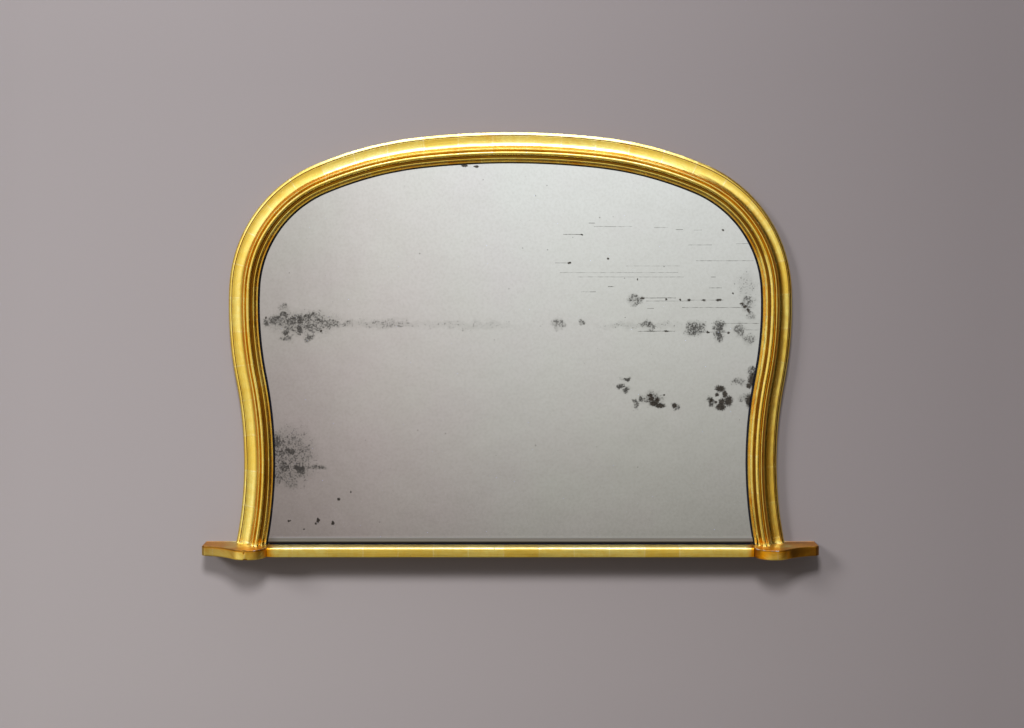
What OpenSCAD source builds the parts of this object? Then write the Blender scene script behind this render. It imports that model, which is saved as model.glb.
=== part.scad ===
// Overmantel mirror in carved and gilded pine: an arched, waisted frame on a plinth base.
// Millimetres. X runs along the base, Z up. The back of the frame lies on the plane y = 0 and the
// front faces -Y. The origin is on the underside of the base, at the middle of its back edge.

/* [Outline] */
// Height from the underside of the base to the top of the crown
overall_h = 962; // [870:1:1070]
// Length of the base over both plinths
overall_w = 1400; // [1250:1:1600]
// Distance that the base reaches past the outer edge of each foot
plinth_reach = 72.3; // [60:0.1:100]
// Half the angle of the flat arch at the top of the crown
crown_a = 6.2; // [5.6:0.1:6.8]
// Radius of the haunch beside the crown
haunch_r = 860; // [800:5:920]
// Angle of the haunch
haunch_a = 16.9; // [16:0.1:17.8]
// Radius of the rounded shoulder
shoulder_r = 320; // [305:1:340]
// Angle of the shoulder
shoulder_a = 64.3; // [63.5:0.1:65]
// Radius of the swelling side
side_r = 900; // [840:5:960]
// Angle of the swelling side
side_a = 13.8; // [13:0.1:14.6]
// Radius of the hollow waist, which curves the other way
waist_r = 950; // [900:5:1050]

/* [Moulding section] */
// Height of the moulding's back above the wall, which is the carcass thickness
carcass_t = 16; // [14:0.5:17]
// Radius of the small bead along the outer edge
outer_bead_r = 3; // [2.5:0.1:3.5]
// Height of the crest of the outer bead
outer_bead_h = 23; // [22:0.1:24]
// Width of the quirk behind the outer bead
outer_quirk_w = 3; // [2:0.1:4]
// Height of the floor of the outer quirk
outer_quirk_h = 18.5; // [18:0.1:19.5]
// Width of the flat fillet before the hollow
fillet_w = 1.2; // [0.8:0.1:2]
// Height of that fillet
fillet_h = 25; // [24:0.1:26]
// Radius of the large hollow
hollow_r = 24.8; // [23:0.1:26]
// Width of the flat ridge at the inner edge of the hollow
ridge_w = 4; // [3:0.1:5]
// Rise of the ridge above the top of the hollow
ridge_rise = 2; // [1:0.1:3]
// Width of the quirk between the ridge and the high bead
inner_quirk_w = 3; // [2:0.1:4]
// Height of the floor of that quirk
inner_quirk_h = 47.5; // [45:0.1:49]
// Radius of the high bead
high_bead_r = 5; // [4.5:0.1:5.5]
// Height of the crest of the high bead
high_bead_h = 58; // [56:0.1:60]
// Width of the groove inside the high bead
groove_w = 5; // [4:0.1:6]
// Height of the floor of the groove
groove_h = 45; // [43:0.1:46]
// Width of the flat top of the slip
slip_w = 3; // [2:0.1:4]
// Height of the top of the slip
slip_h = 48; // [46.5:0.1:50]
// Width of the slope from the slip down to the sight fillet
slope_w = 5; // [4:0.1:6]
// Width of the flat fillet beside the glass
sight_w = 5; // [4:0.1:6]
// Height of the sight fillet
sight_h = 36; // [34:0.1:38]

/* [Glass] */
// Thickness of the glass plate
glass_t = 4; // [3:0.1:6]
// Height of the front of the glass above the wall
glass_front_h = 28; // [26:0.1:30]
// Width of the lip that covers the edge of the glass
rebate_w = 10; // [8:0.5:12]
// Gap between the edge of the glass and the wall of the rebate
glass_gap = 2; // [1:0.1:3]

/* [Base] */
// Thickness of the rail and the plinth boards
base_t = 22; // [20:0.5:25]
// Depth of the rail from the wall to its front
rail_d = 72; // [66:1:76]
// Radius of the rounded front edge of the rail
rail_round = 5; // [3:0.5:6]
// Depth of the plinth at the crest of its lobe
lobe_d = 106; // [100:1:112]
// Radius of the inner end of the lobe
lobe_in_r = 42; // [38:1:44]
// Radius of the outer side of the lobe
lobe_out_r = 80; // [70:1:90]
// Depth of the plinth at its outer end
plinth_end_d = 58; // [52:1:64]
// Width of the canted corner at the outer end
cant = 7; // [4:0.5:10]

/* [Back] */
// Thickness of the backboards
backboard_t = 9; // [7:0.5:11]
// Width of the ledge that the backboards are screwed to
ledge_w = 14; // [12:0.5:18]
// Gap between a backboard and its neighbour, and between a backboard and the carcass
board_gap = 1; // [0.5:0.1:2]
// Length of each glazing block
block_len = 45; // [30:1:60]
// Width of each glazing block
block_w = 12; // [8:0.5:14]

/* [Fixings] */
// Clearance round a screw or dowel
fix_gap = 0.15; // [0.1:0.05:0.3]
// Length of the screws through the carcass into the moulding
carcass_screw_len = 36; // [30:1:40]
// Length of the screws up through the plinths
plinth_screw_len = 70; // [50:1:80]
// Length of the backboard screws
backboard_screw_len = 15; // [12:0.5:18]
// Radius of a dowel
dowel_r = 4; // [3:0.5:4.5]
// Length of a dowel
dowel_len = 60; // [40:1:70]

/* [Hangers] */
// Height of the rings' hinge line above the widest part of the frame
hanger_rise = 93.7; // [40:0.1:110]
// Distance from the outer edge of the frame to the middle of the strap
hanger_inset = 24; // [20:0.5:26]
// Width of the strap and its knuckle
strap_w = 16; // [14:0.5:18]
// Length of the strap below the hinge line
strap_len = 60; // [56:1:70]
// Thickness of the strap
strap_t = 1.5; // [1.2:0.1:2]
// Radius of the ring's wire
wire_r = 2; // [1.8:0.1:2.2]
// Distance of the hinge line behind the back of the frame
hinge_y = 4.2; // [4:0.1:4.6]
// Running clearance of the ring in its knuckle
hinge_gap = 0.1; // [0.05:0.01:0.1]
// Wall of the knuckle round the wire
knuckle_wall = 1.6; // [1.4:0.1:1.8]
// Radius of the ring's round end, to the middle of the wire
ring_r = 14; // [13:0.5:16]
// Radius of the ring's corners beside the knuckle
ring_corner_r = 5; // [4.5:0.1:5]
// Distance from the hinge line to the centre of the ring's round end
ring_drop = 12; // [10:0.5:14]

/* [Hidden] */

// Smoothness of the long arcs and of the small round parts
arc_fn = 360;
small_fn = 48;
// Points along each arc of a flat outline, and along each round of a section
outline_steps = 16;
section_steps = 12;
// Small overrun that lets one cut pass clean through a face
over = 0.5;
// Thickness of the glue between two lengths of moulding
glue_line = 0.05;
// The waist is swept this share of its arc, past the base, and cut off level on top of it
past_foot = 1.1;

// The outline: tangent arcs from the top of the crown down the right side, in this order: crown,
// haunch, shoulder, side, waist. All curve down round the mirror except the waist, which turns
// the other way. The heading is the angle below the level at which the outline leaves a point.
angles = [crown_a, haunch_a, shoulder_a, side_a];
turns = [1, 1, 1, 1, -1];

function last() = len(turns) - 1;
function inward(heading) = [-sin(heading), -cos(heading)];
function heading(i) = i == 0 ? 0 : heading(i - 1) + angles[i - 1];
function chord(i, r) = r * (inward(heading(i)) - inward(heading(i + 1)));

// The crown is as wide as it takes for the waist to reach the top of the base at the foot. The
// waist's centre lies at below_crown from the end of the crown, however wide that is.
foot = [overall_w / 2 - plinth_reach, base_t];
below_crown = chord(1, haunch_r) + chord(2, shoulder_r) + chord(3, side_r)
    - waist_r * inward(heading(last()));
crown_slope = [cos(crown_a / 2), -sin(crown_a / 2)];
to_foot = foot - [0, overall_h] - below_crown;
crown_chord = crown_slope * to_foot
    + sqrt(pow(waist_r, 2) - pow(cross(crown_slope, to_foot), 2));
crown_r = crown_chord / 2 / sin(crown_a / 2);
radii = [crown_r, haunch_r, shoulder_r, side_r, waist_r];

function start_of(i) =
    i == 0 ? [0, overall_h] : on_arc(i - 1, heading(i), 0);
function centre(i) = start_of(i) + turns[i] * radii[i] * inward(heading(i));
function on_arc(i, heading, inset) =
    centre(i) - turns[i] * (radii[i] - turns[i] * inset) * inward(heading);
// Heading at which the line lying inset from the outer edge reaches the top of the base
function foot_heading(inset) = acos((centre(last()).y - base_t) / (waist_r + inset));
function foot_x(inset) = centre(last()).x - (waist_r + inset) * sin(foot_heading(inset));
function angle_of(i) = i == last() ? heading(i) - foot_heading(0) : angles[i];
function arc_length(i) = radii[i] * angle_of(i) * PI / 180;
// A point a share of the way along arc i, lying inset from the outer edge. On the last arc every
// such line ends on top of the base.
function along(i, share, inset) =
    on_arc(i, heading(i) + share * (i == last()
        ? foot_heading(inset) - heading(i)
        : turns[i] * angle_of(i)), inset);
// Points along that line from one station to another. A station is an arc and a share along it.
function station(s) = s[0] + s[1];
function stretch(inset, from, to) = concat(
    [along(from[0], from[1], inset)],
    [
        for (i = [from[0]:to[0]], k = [0:outline_steps - 1])
            let (s = [i, k / outline_steps])
            if (station(s) > station(from) && station(s) < station(to)) along(s[0], s[1], inset)
    ],
    [along(to[0], to[1], inset)]
);
function backwards(list) = [for (k = [len(list) - 1:-1:0]) list[k]];
// Where the line lying inset from the outer edge passes the height z
function x_at(inset, z) = [
    for (i = [0:last()])
        if (z <= along(i, 0, inset).y && z > along(i, 1, inset).y)
            centre(i).x + turns[i] * sqrt(pow(radii[i] - turns[i] * inset, 2)
                - pow(z - centre(i).y, 2))
][0];

// The moulding's section: distance in from the outer edge, then height above the wall
hollow_start = 2 * outer_bead_r + outer_quirk_w + fillet_w;
ridge_start = hollow_start + hollow_r;
bead_start = ridge_start + ridge_w + inner_quirk_w;
groove_start = bead_start + 2 * high_bead_r;
slip_start = groove_start + groove_w;
sight_start = slip_start + slip_w + slope_w;
mould_w = sight_start + sight_w;
rebate_at = mould_w - rebate_w;
// The slope stops this far above the sight fillet, as a small step
sight_step = 2;
lip_gap = 0.3;
lip_h = glass_front_h + lip_gap;

function arc_points(c, r, from, to) = [
    for (k = [0:section_steps])
        let (t = from + (to - from) * k / section_steps) c + r * [cos(t), sin(t)]
];

moulding_section = concat(
    [[0, carcass_t]],
    arc_points([outer_bead_r, outer_bead_h - outer_bead_r], outer_bead_r, 180, 0),
    [
        [2 * outer_bead_r, outer_quirk_h],
        [2 * outer_bead_r + outer_quirk_w, outer_quirk_h],
        [2 * outer_bead_r + outer_quirk_w, fillet_h]
    ],
    arc_points([hollow_start, fillet_h + hollow_r], hollow_r, -90, 0),
    [
        [ridge_start, fillet_h + hollow_r + ridge_rise],
        [ridge_start + ridge_w, fillet_h + hollow_r + ridge_rise],
        [ridge_start + ridge_w, inner_quirk_h],
        [bead_start, inner_quirk_h]
    ],
    arc_points([bead_start + high_bead_r, high_bead_h - high_bead_r], high_bead_r, 180, 0),
    [
        [groove_start, groove_h],
        [slip_start, groove_h],
        [slip_start, slip_h],
        [slip_start + slip_w, slip_h],
        [sight_start, sight_h + sight_step],
        [sight_start, sight_h],
        [mould_w, sight_h],
        [mould_w, lip_h],
        [rebate_at, lip_h],
        [rebate_at, carcass_t]
    ]
);

// Turns a drawing of the front, x across and y up, with z as height above the wall, to the world
module on_wall() rotate([90, 0, 0]) children();

module left() mirror([1, 0, 0]) children();

// Sweeps a section along part of arc i of the right half
module sweep(i, section, from = 0, to = 1) {
    share = turns[i] > 0 ? to : from;
    edge = heading(i) + turns[i] * angle_of(i) * share;
    translate(centre(i))
        rotate([0, 0, turns[i] > 0 ? 90 - edge : 270 - edge])
            rotate_extrude(angle = angle_of(i) * (to - from), $fn = arc_fn)
                polygon([for (p = section) [radii[i] - turns[i] * p.x, p.y]]);
}

module above_base(top) {
    reach = overall_w;
    translate([-reach, base_t, -over]) cube([2 * reach, overall_h, top + 2 * over]);
}

// Screws. Each starts at the surface z = 0 and runs towards +z.
screw_r = 1.75;
screw_head_r = 3.6;
big_screw_r = 2.25;
big_screw_head_r = 4.6;
slot_w = 0.9;
slot_d = 1;

module countersunk(r, head_r, length) {
    difference() {
        rotate_extrude($fn = small_fn)
            polygon([[0, 0], [head_r, 0], [r, head_r - r], [r, length - 2 * r], [0, length]]);
        translate([-head_r - over, -slot_w / 2, -over])
            cube([2 * (head_r + over), slot_w, slot_d + over]);
    }
}

module countersink(r, head_r, length) {
    wide = r + fix_gap;
    rotate_extrude($fn = small_fn)
        polygon([
            [0, -over], [head_r + fix_gap, -over], [head_r + fix_gap, 0], [wide, head_r - r],
            [wide, length - 2 * r], [0, length + 2 * fix_gap]
        ]);
}

// Screws through the carcass into the moulding: arc, share along it. They miss the board joints.
carcass_screw_in = ridge_start + ridge_w / 2;
carcass_screws_at = [
    [0, 0.12], [1, 0.2], [1, 0.75], [2, 0.12], [2, 0.28], [2, 0.7],
    [3, 0.35], [3, 0.75], [4, 0.3], [4, 0.6]
];
// Stations where the carcass boards meet: arc, share along it
shoulder_joint = [2, 0.2];
side_joint = [3, 0.55];

module moulding(i, from = 0) {
    color("goldenrod")
        on_wall()
            difference() {
                if (i == last())
                    intersection() {
                        sweep(i, moulding_section, 0, past_foot);
                        above_base(high_bead_h);
                    }
                else
                    sweep(i, moulding_section, from, 1 - glue_line / arc_length(i));
                for (s = carcass_screws_at)
                    if (s[0] == i) {
                        carcass_hole(s);
                        if (from < 0) mirror([1, 0, 0]) carcass_hole(s);
                    }
            }
}

module carcass_hole(s)
    translate(along(s[0], s[1], carcass_screw_in))
        countersink(big_screw_r, big_screw_head_r, carcass_screw_len);

module moulding_crown() moulding(0, -1);
module moulding_haunch() moulding(1);
module moulding_shoulder() moulding(2);
module moulding_side() moulding(3);
module moulding_waist() moulding(4);

// The flat shape between two lines inset from the outer edge, from one station to another
module band(from, to, inset_a, inset_b)
    polygon(concat(stretch(inset_a, from, to), backwards(stretch(inset_b, from, to))));

// A carcass board of the right half between two stations. The ledge takes the backboards.
module carcass_board(from, to) {
    color("burlywood")
        on_wall()
            difference() {
                union() {
                    linear_extrude(carcass_t) band(from, to, 0, rebate_at - ledge_w);
                    translate([0, 0, backboard_t])
                        linear_extrude(carcass_t - backboard_t)
                            band(from, to, rebate_at - ledge_w - over, rebate_at);
                }
                for (s = carcass_screws_at)
                    if (station(s) > station(from) && station(s) < station(to)) carcass_hole(s);
                for (p = backboard_screws_at())
                    if (p[2] > station(from) && p[2] < station(to)) backboard_hole(p);
                if (to[0] == last()) plinth_screw_holes();
                if (from == shoulder_joint) hanger_holes();
            }
}

module carcass_top() carcass_board([0, 0], shoulder_joint);
module carcass_shoulder() carcass_board(shoulder_joint, side_joint);
module carcass_side() carcass_board(side_joint, [last(), 1]);

module carcass_screws()
    color("dimgray")
        on_wall()
            for (s = carcass_screws_at, side = [0, 1])
                mirror([side, 0, 0])
                    translate(along(s[0], s[1], carcass_screw_in))
                        countersunk(big_screw_r, big_screw_head_r, carcass_screw_len);

// The base. The lobes stand under the middle of the feet.
lobe_x = foot_x(mould_w / 2);
joint_x = lobe_x - lobe_in_r;
end_x = overall_w / 2;
rebate_z = base_t - rebate_w;
board_bottom_z = 4;

module base_rail()
    color("darkgoldenrod")
        difference() {
            rotate([90, 0, 90])
                translate([0, 0, -joint_x])
                    linear_extrude(2 * joint_x)
                        polygon([for (p = rail_section) [-p.x, p.y]]);
            rail_dowel_holes();
        }

// Distance from the wall, then height
rail_section = concat(
    [[0, 0], [rail_d, 0]],
    arc_points([rail_d - rail_round, base_t - rail_round], rail_round, 0, 90),
    [
        [lip_h, base_t],
        [lip_h, rebate_z],
        [backboard_t, rebate_z],
        [backboard_t, board_bottom_z],
        [0, board_bottom_z]
    ]
);

// The plinth's outline seen from above: x, then distance from the wall. The straight outer
// stretch is tangent to the outer side of the lobe.
cant_p = [end_x - cant, plinth_end_d];
lobe_out_c = [lobe_x, lobe_d - lobe_out_r];
tangent_a = atan2(cant_p.y - lobe_out_c.y, cant_p.x - lobe_out_c.x)
    + acos(lobe_out_r / norm(cant_p - lobe_out_c));

plinth_outline = concat(
    [[joint_x, 0]],
    arc_points([lobe_x, lobe_d - lobe_in_r], lobe_in_r, 180, 90),
    arc_points(lobe_out_c, lobe_out_r, 90, tangent_a),
    [cant_p, [end_x, plinth_end_d - cant], [end_x, 0]]
);

module plinth()
    color("darkgoldenrod")
        difference() {
            linear_extrude(base_t) polygon([for (p = plinth_outline) [p.x, -p.y]]);
            // The rebates of the glass and of the backboards run on into the board
            notch(foot_x(rebate_at), lip_h, rebate_z);
            notch(foot_x(rebate_at - ledge_w), backboard_t, board_bottom_z);
            rail_dowel_holes();
            on_wall() plinth_screw_holes();
        }

module notch(x, depth, z)
    translate([joint_x - over, -depth, z])
        cube([x - joint_x + over, depth + over, base_t]);

// Dowels: distance from the wall, then height
dowels_at = [[14, rebate_z / 2], [50, base_t / 2]];

module rail_dowel_holes()
    for (p = dowels_at, side = [-1, 1])
        dowel(p, side, dowel_r + fix_gap, dowel_len + 2 * fix_gap);

module dowel(p, side, r, length)
    translate([side * joint_x, -p.x, p.y])
        rotate([0, 90, 0]) cylinder(r = r, h = length, center = true, $fn = small_fn);

module rail_dowels()
    color("burlywood")
        for (p = dowels_at, side = [-1, 1]) dowel(p, side, dowel_r, dowel_len);

// Screws up through each plinth: distance in from the outer edge of the foot
plinth_screws_in = [14, 34];

module plinth_screw_at(inset)
    translate([foot_x(inset), 0, carcass_t / 2]) rotate([-90, 0, 0]) children();

module plinth_screw_holes()
    for (inset = plinth_screws_in)
        plinth_screw_at(inset) countersink(big_screw_r, big_screw_head_r, plinth_screw_len);

module plinth_screws()
    color("dimgray")
        on_wall()
            for (inset = plinth_screws_in, side = [0, 1])
                mirror([side, 0, 0])
                    plinth_screw_at(inset)
                        countersunk(big_screw_r, big_screw_head_r, plinth_screw_len);

// The whole region inside the line lying inset from the outer edge, down to the height bottom
module region(inset, bottom) {
    half = concat(stretch(inset, [0, 0], [last(), 1]), [[foot_x(inset), bottom]]);
    polygon(concat(half, [for (p = backwards(half)) if (p.x > 0) [-p.x, p.y]]));
}

// Glass
glass_back_h = glass_front_h - glass_t;
setting_len = 40;
// The plate stands on two leather pieces at the quarter points of its bottom edge
setting_x = foot_x(rebate_at) / 2;

module glass_plate()
    color("silver")
        on_wall()
            translate([0, 0, glass_back_h])
                linear_extrude(glass_t) region(rebate_at + glass_gap, rebate_z + glass_gap);

module setting_pieces()
    color("saddlebrown")
        for (side = [-1, 1])
            translate([side * setting_x - setting_len / 2, -glass_front_h, rebate_z])
                cube([setting_len, glass_t, glass_gap]);

// Glazing blocks glued behind the glass: arc, share along it
blocks_at = [
    [0, 0], [1, 0.25], [1, 0.8], [2, 0.35], [2, 0.62], [2, 0.9], [3, 0.5],
    [4, 0.12], [4, 0.5], [4, 0.85]
];
block_in = rebate_at + lip_gap;
block_section = [
    [block_in, backboard_t + lip_gap], [block_in + block_w, backboard_t + lip_gap],
    [block_in + block_w, glass_back_h], [block_in, glass_back_h]
];
rail_blocks = 4;
rail_block_pitch = 2 * foot_x(rebate_at) / rail_blocks;

module glazing_blocks()
    color("tan") {
        on_wall()
            for (s = blocks_at, side = [0, 1])
                if (side == 0 || station(s) > 0) mirror([side, 0, 0]) glazing_block(s);
        for (k = [0.5:rail_blocks])
            translate([
                (k - rail_blocks / 2) * rail_block_pitch - block_len / 2, -glass_back_h, rebate_z
            ])
                cube([block_len, glass_back_h - backboard_t - lip_gap, block_w]);
    }

module glazing_block(s) {
    half = block_len / 2 / arc_length(s[0]);
    sweep(s[0], block_section, s[1] - half, s[1] + half);
}

// Backboards, laid across and screwed to the ledge
backboard_in = rebate_at - ledge_w + board_gap;
backboards_bottom = board_bottom_z + board_gap;
backboard_pitch = (overall_h - backboard_in - backboards_bottom + board_gap) / 5;

module backboard(n)
    color("peru")
        on_wall()
            difference() {
                intersection() {
                    linear_extrude(backboard_t) region(backboard_in, backboards_bottom);
                    translate([-end_x, backboards_bottom + n * backboard_pitch, -over])
                        cube([2 * end_x, backboard_pitch - board_gap, backboard_t + 2 * over]);
                }
                for (p = backboard_screws_at(), side = [0, 1])
                    if (floor((p[1] - backboards_bottom) / backboard_pitch) == n)
                        mirror([side, 0, 0]) backboard_hole(p);
            }

module backboard_bottom() backboard(0);
module backboard_lower() backboard(1);
module backboard_middle() backboard(2);
module backboard_upper() backboard(3);
module backboard_top() backboard(4);

// Backboard screws on the right half: x, height, station of the board that they enter
backboard_screw_in = rebate_at - ledge_w / 2 + board_gap / 2;
screw_margin = 0.25;
crown_screws_at = [[0, 0.45], [1, 0.35], [1, 0.9], [2, 0.38]];

function backboard_screws_at() = concat(
    [
        for (n = [0:4], share = [screw_margin, 1 - screw_margin])
            let (z = backboards_bottom + (n + share) * backboard_pitch)
            if (z > base_t + ledge_w && z < along(2, 0.5, backboard_screw_in).y)
                [x_at(backboard_screw_in, z), z, station_at(z)]
    ],
    [
        for (s = crown_screws_at)
            let (p = along(s[0], s[1], backboard_screw_in)) [p.x, p.y, station(s)]
    ]
);

// Station of the point at height z, counted as arc plus share, close enough to pick a board
function station_at(z) = [
    for (i = [0:last()])
        let (a = along(i, 0, backboard_screw_in).y, b = along(i, 1, backboard_screw_in).y)
        if (z <= a && z > b) i + (a - z) / (a - b)
][0];

module backboard_hole(p)
    translate([p[0], p[1]]) countersink(screw_r, screw_head_r, backboard_screw_len);

module backboard_screws()
    color("dimgray")
        on_wall()
            for (p = backboard_screws_at(), side = [0, 1])
                mirror([side, 0, 0])
                    translate([p[0], p[1]])
                        countersunk(screw_r, screw_head_r, backboard_screw_len);

// Hangers on the back of the shoulder boards. The rings hang down from their knuckles.
hanger_z = centre(3).y + hanger_rise;
hanger_x = x_at(hanger_inset, hanger_z);
knuckle_r = wire_r + hinge_gap + knuckle_wall;
// Distance of each screw from the round end of the strap
hanger_screws_up = [8, 24];
hanger_screw_len = 12;
hanger_screw_tip = 3;
// The screws' heads are domes of this height
dome_h = 1.8;
dome_steps = 5;

module hanger_strap()
    color("darkkhaki")
        translate([hanger_x, 0, hanger_z])
            difference() {
                union() {
                    translate([-strap_w / 2, 0, -strap_len + strap_w / 2])
                        cube([strap_w, strap_t, strap_len - strap_w / 2]);
                    translate([0, strap_t, -strap_len + strap_w / 2])
                        rotate([90, 0, 0]) cylinder(r = strap_w / 2, h = strap_t, $fn = small_fn);
                    translate([-strap_w / 2, hinge_y, 0])
                        rotate([0, 90, 0]) cylinder(r = knuckle_r, h = strap_w, $fn = small_fn);
                }
                translate([-strap_w, hinge_y, 0])
                    rotate([0, 90, 0])
                        cylinder(r = wire_r + hinge_gap, h = 2 * strap_w, $fn = small_fn);
                hanger_screw_places()
                    cylinder(r = screw_r + fix_gap, h = 2 * strap_t + over, center = true,
                        $fn = small_fn);
            }

// The screws run forward from the strap's back face
module hanger_screw_places()
    for (up = hanger_screws_up)
        translate([0, strap_t, up - strap_len]) rotate([90, 0, 0]) children();

module hanger_holes()
    rotate([-90, 0, 0])
        translate([hanger_x, 0, hanger_z])
            hanger_screw_places()
                cylinder(r = screw_r + fix_gap, h = hanger_screw_len + fix_gap, $fn = small_fn);

// Half the section of a round-headed screw: out from its axis, then forward from the strap
dome_screw = concat(
    [
        for (k = [0:dome_steps])
            let (t = 90 * k / dome_steps) [screw_head_r * sin(t), -dome_h * cos(t)]
    ],
    [[screw_r, 0], [screw_r, hanger_screw_len - hanger_screw_tip], [0, hanger_screw_len]]
);

module hanger_screws()
    color("darkkhaki")
        for (side = [0, 1])
            mirror([side, 0, 0])
                translate([hanger_x, 0, hanger_z])
                    hanger_screw_places()
                        rotate_extrude($fn = small_fn) polygon(dome_screw);

module hanger_ring()
    color("darkkhaki")
        translate([hanger_x, hinge_y, hanger_z])
            rotate([90, 0, 0]) {
                reach = ring_r - ring_corner_r;
                rotate([0, 90, 0])
                    cylinder(r = wire_r, h = 2 * reach, center = true, $fn = small_fn);
                for (side = [0, 1])
                    mirror([side, 0, 0]) {
                        translate([reach, -ring_corner_r])
                            rotate_extrude(angle = 90, $fn = arc_fn)
                                translate([ring_corner_r, 0]) circle(wire_r, $fn = small_fn);
                        translate([ring_r, -ring_drop])
                            rotate([-90, 0, 0])
                                cylinder(r = wire_r, h = ring_drop - ring_corner_r, $fn = small_fn);
                    }
                translate([0, -ring_drop])
                    rotate([0, 0, 180])
                        rotate_extrude(angle = 180, $fn = arc_fn)
                            translate([ring_r, 0]) circle(wire_r, $fn = small_fn);
            }

moulding_crown();
left() moulding_haunch();  // moulding_haunch_left
moulding_haunch();  // moulding_haunch_right
left() moulding_shoulder();  // moulding_shoulder_left
moulding_shoulder();  // moulding_shoulder_right
left() moulding_side();  // moulding_side_left
moulding_side();  // moulding_side_right
left() moulding_waist();  // moulding_waist_left
moulding_waist();  // moulding_waist_right
left() carcass_top();  // carcass_top_left
carcass_top();  // carcass_top_right
left() carcass_shoulder();  // carcass_shoulder_left
carcass_shoulder();  // carcass_shoulder_right
left() carcass_side();  // carcass_side_left
carcass_side();  // carcass_side_right
carcass_screws();
base_rail();
left() plinth();  // plinth_left
plinth();  // plinth_right
rail_dowels();
plinth_screws();
glass_plate();
setting_pieces();
glazing_blocks();
backboard_bottom();
backboard_lower();
backboard_middle();
backboard_upper();
backboard_top();
backboard_screws();
left() hanger_strap();  // hanger_strap_left
hanger_strap();  // hanger_strap_right
left() hanger_ring();  // hanger_ring_left
hanger_ring();  // hanger_ring_right
hanger_screws();
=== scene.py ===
import math

import bpy
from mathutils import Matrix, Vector, kdtree


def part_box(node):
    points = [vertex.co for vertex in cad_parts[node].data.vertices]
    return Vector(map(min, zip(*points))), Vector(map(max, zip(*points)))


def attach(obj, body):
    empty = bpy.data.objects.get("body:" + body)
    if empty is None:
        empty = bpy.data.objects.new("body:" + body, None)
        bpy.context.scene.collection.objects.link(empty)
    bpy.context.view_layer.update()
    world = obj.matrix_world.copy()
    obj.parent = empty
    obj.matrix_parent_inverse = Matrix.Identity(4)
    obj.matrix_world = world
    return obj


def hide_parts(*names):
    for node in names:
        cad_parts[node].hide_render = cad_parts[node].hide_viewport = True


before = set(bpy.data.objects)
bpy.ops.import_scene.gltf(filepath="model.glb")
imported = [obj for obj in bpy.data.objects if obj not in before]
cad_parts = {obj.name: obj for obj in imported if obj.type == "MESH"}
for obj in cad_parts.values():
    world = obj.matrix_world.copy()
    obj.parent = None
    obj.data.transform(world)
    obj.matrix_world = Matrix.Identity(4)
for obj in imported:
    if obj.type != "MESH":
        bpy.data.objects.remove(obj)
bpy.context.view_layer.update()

# ---- Moulding -------------------------------------------------------------------------------
# Nine lengths of pine, coated in gesso and run to one section with a shaped scraper. They follow
# the whole outline, five tangent arcs a side, and are glued and screwed to the carcass behind.

mm = 0.001
top_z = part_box("moulding_crown")[1].z
base_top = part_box("base_rail")[1].z

# The arcs of the right half from the crown down: name, radius, degrees turned. The waist curves
# the other way, so both of its numbers are negative. The crown's outer edge is its widest part.
crown_turn = 6.2
crown_half_w = max(abs(corner.x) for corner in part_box("moulding_crown"))
crown_r = crown_half_w / math.sin(math.radians(crown_turn))
arcs = [
    ("crown", crown_r, crown_turn),
    ("haunch", 860 * mm, 16.9),
    ("shoulder", 320 * mm, 64.3),
    ("side", 900 * mm, 13.8),
    ("waist", -950 * mm, -22.43),
]

# The section, as distance in from the outer edge and height above the wall
back_h = 16 * mm
edge_h, bevel_w, bevel_h = 18 * mm, 7 * mm, 23.6 * mm
quirk_w, quirk_h = 1.6 * mm, 20.5 * mm
fillet_w, fillet_h = 1.6 * mm, 25 * mm
hollow_w, hollow_h = 28.3 * mm, 24.8 * mm
ridge_w, ridge_h = 3.5 * mm, 51.8 * mm
inner_quirk_w, inner_quirk_h = 3.5 * mm, 47.5 * mm
high_r, high_h = 4.25 * mm, 58 * mm
groove_w, groove_h = 5 * mm, 45 * mm
slip_w, slip_h = 3 * mm, 48 * mm
slope_w, sight_w, sight_h = 3.4 * mm, 3.6 * mm, 36 * mm
border_w = 2.6 * mm
rebate_u, rebate_w, lip_h = 60 * mm, 10 * mm, 28.3 * mm

hollow_u = bevel_w + quirk_w + fillet_w
ridge_u = hollow_u + hollow_w
high_u = ridge_u + ridge_w + inner_quirk_w
groove_u = high_u + 2 * high_r
slip_u = groove_u + groove_w
sight_u = slip_u + slip_w + slope_w
black_u = sight_u + sight_w
mould_w = black_u + border_w


def bow(centre_u, centre_h, radius, start, end, steps, tone_and_shade, radius_h=None):
    """Points on an arc, or part of an ellipse, from one angle to another, in degrees."""
    angles = [math.radians(start + (end - start) * k / steps) for k in range(steps + 1)]
    up = radius_h or radius
    return [
        (centre_u + radius * math.cos(a), centre_h + up * math.sin(a), 0, tone_and_shade) for a in angles
    ]
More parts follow.
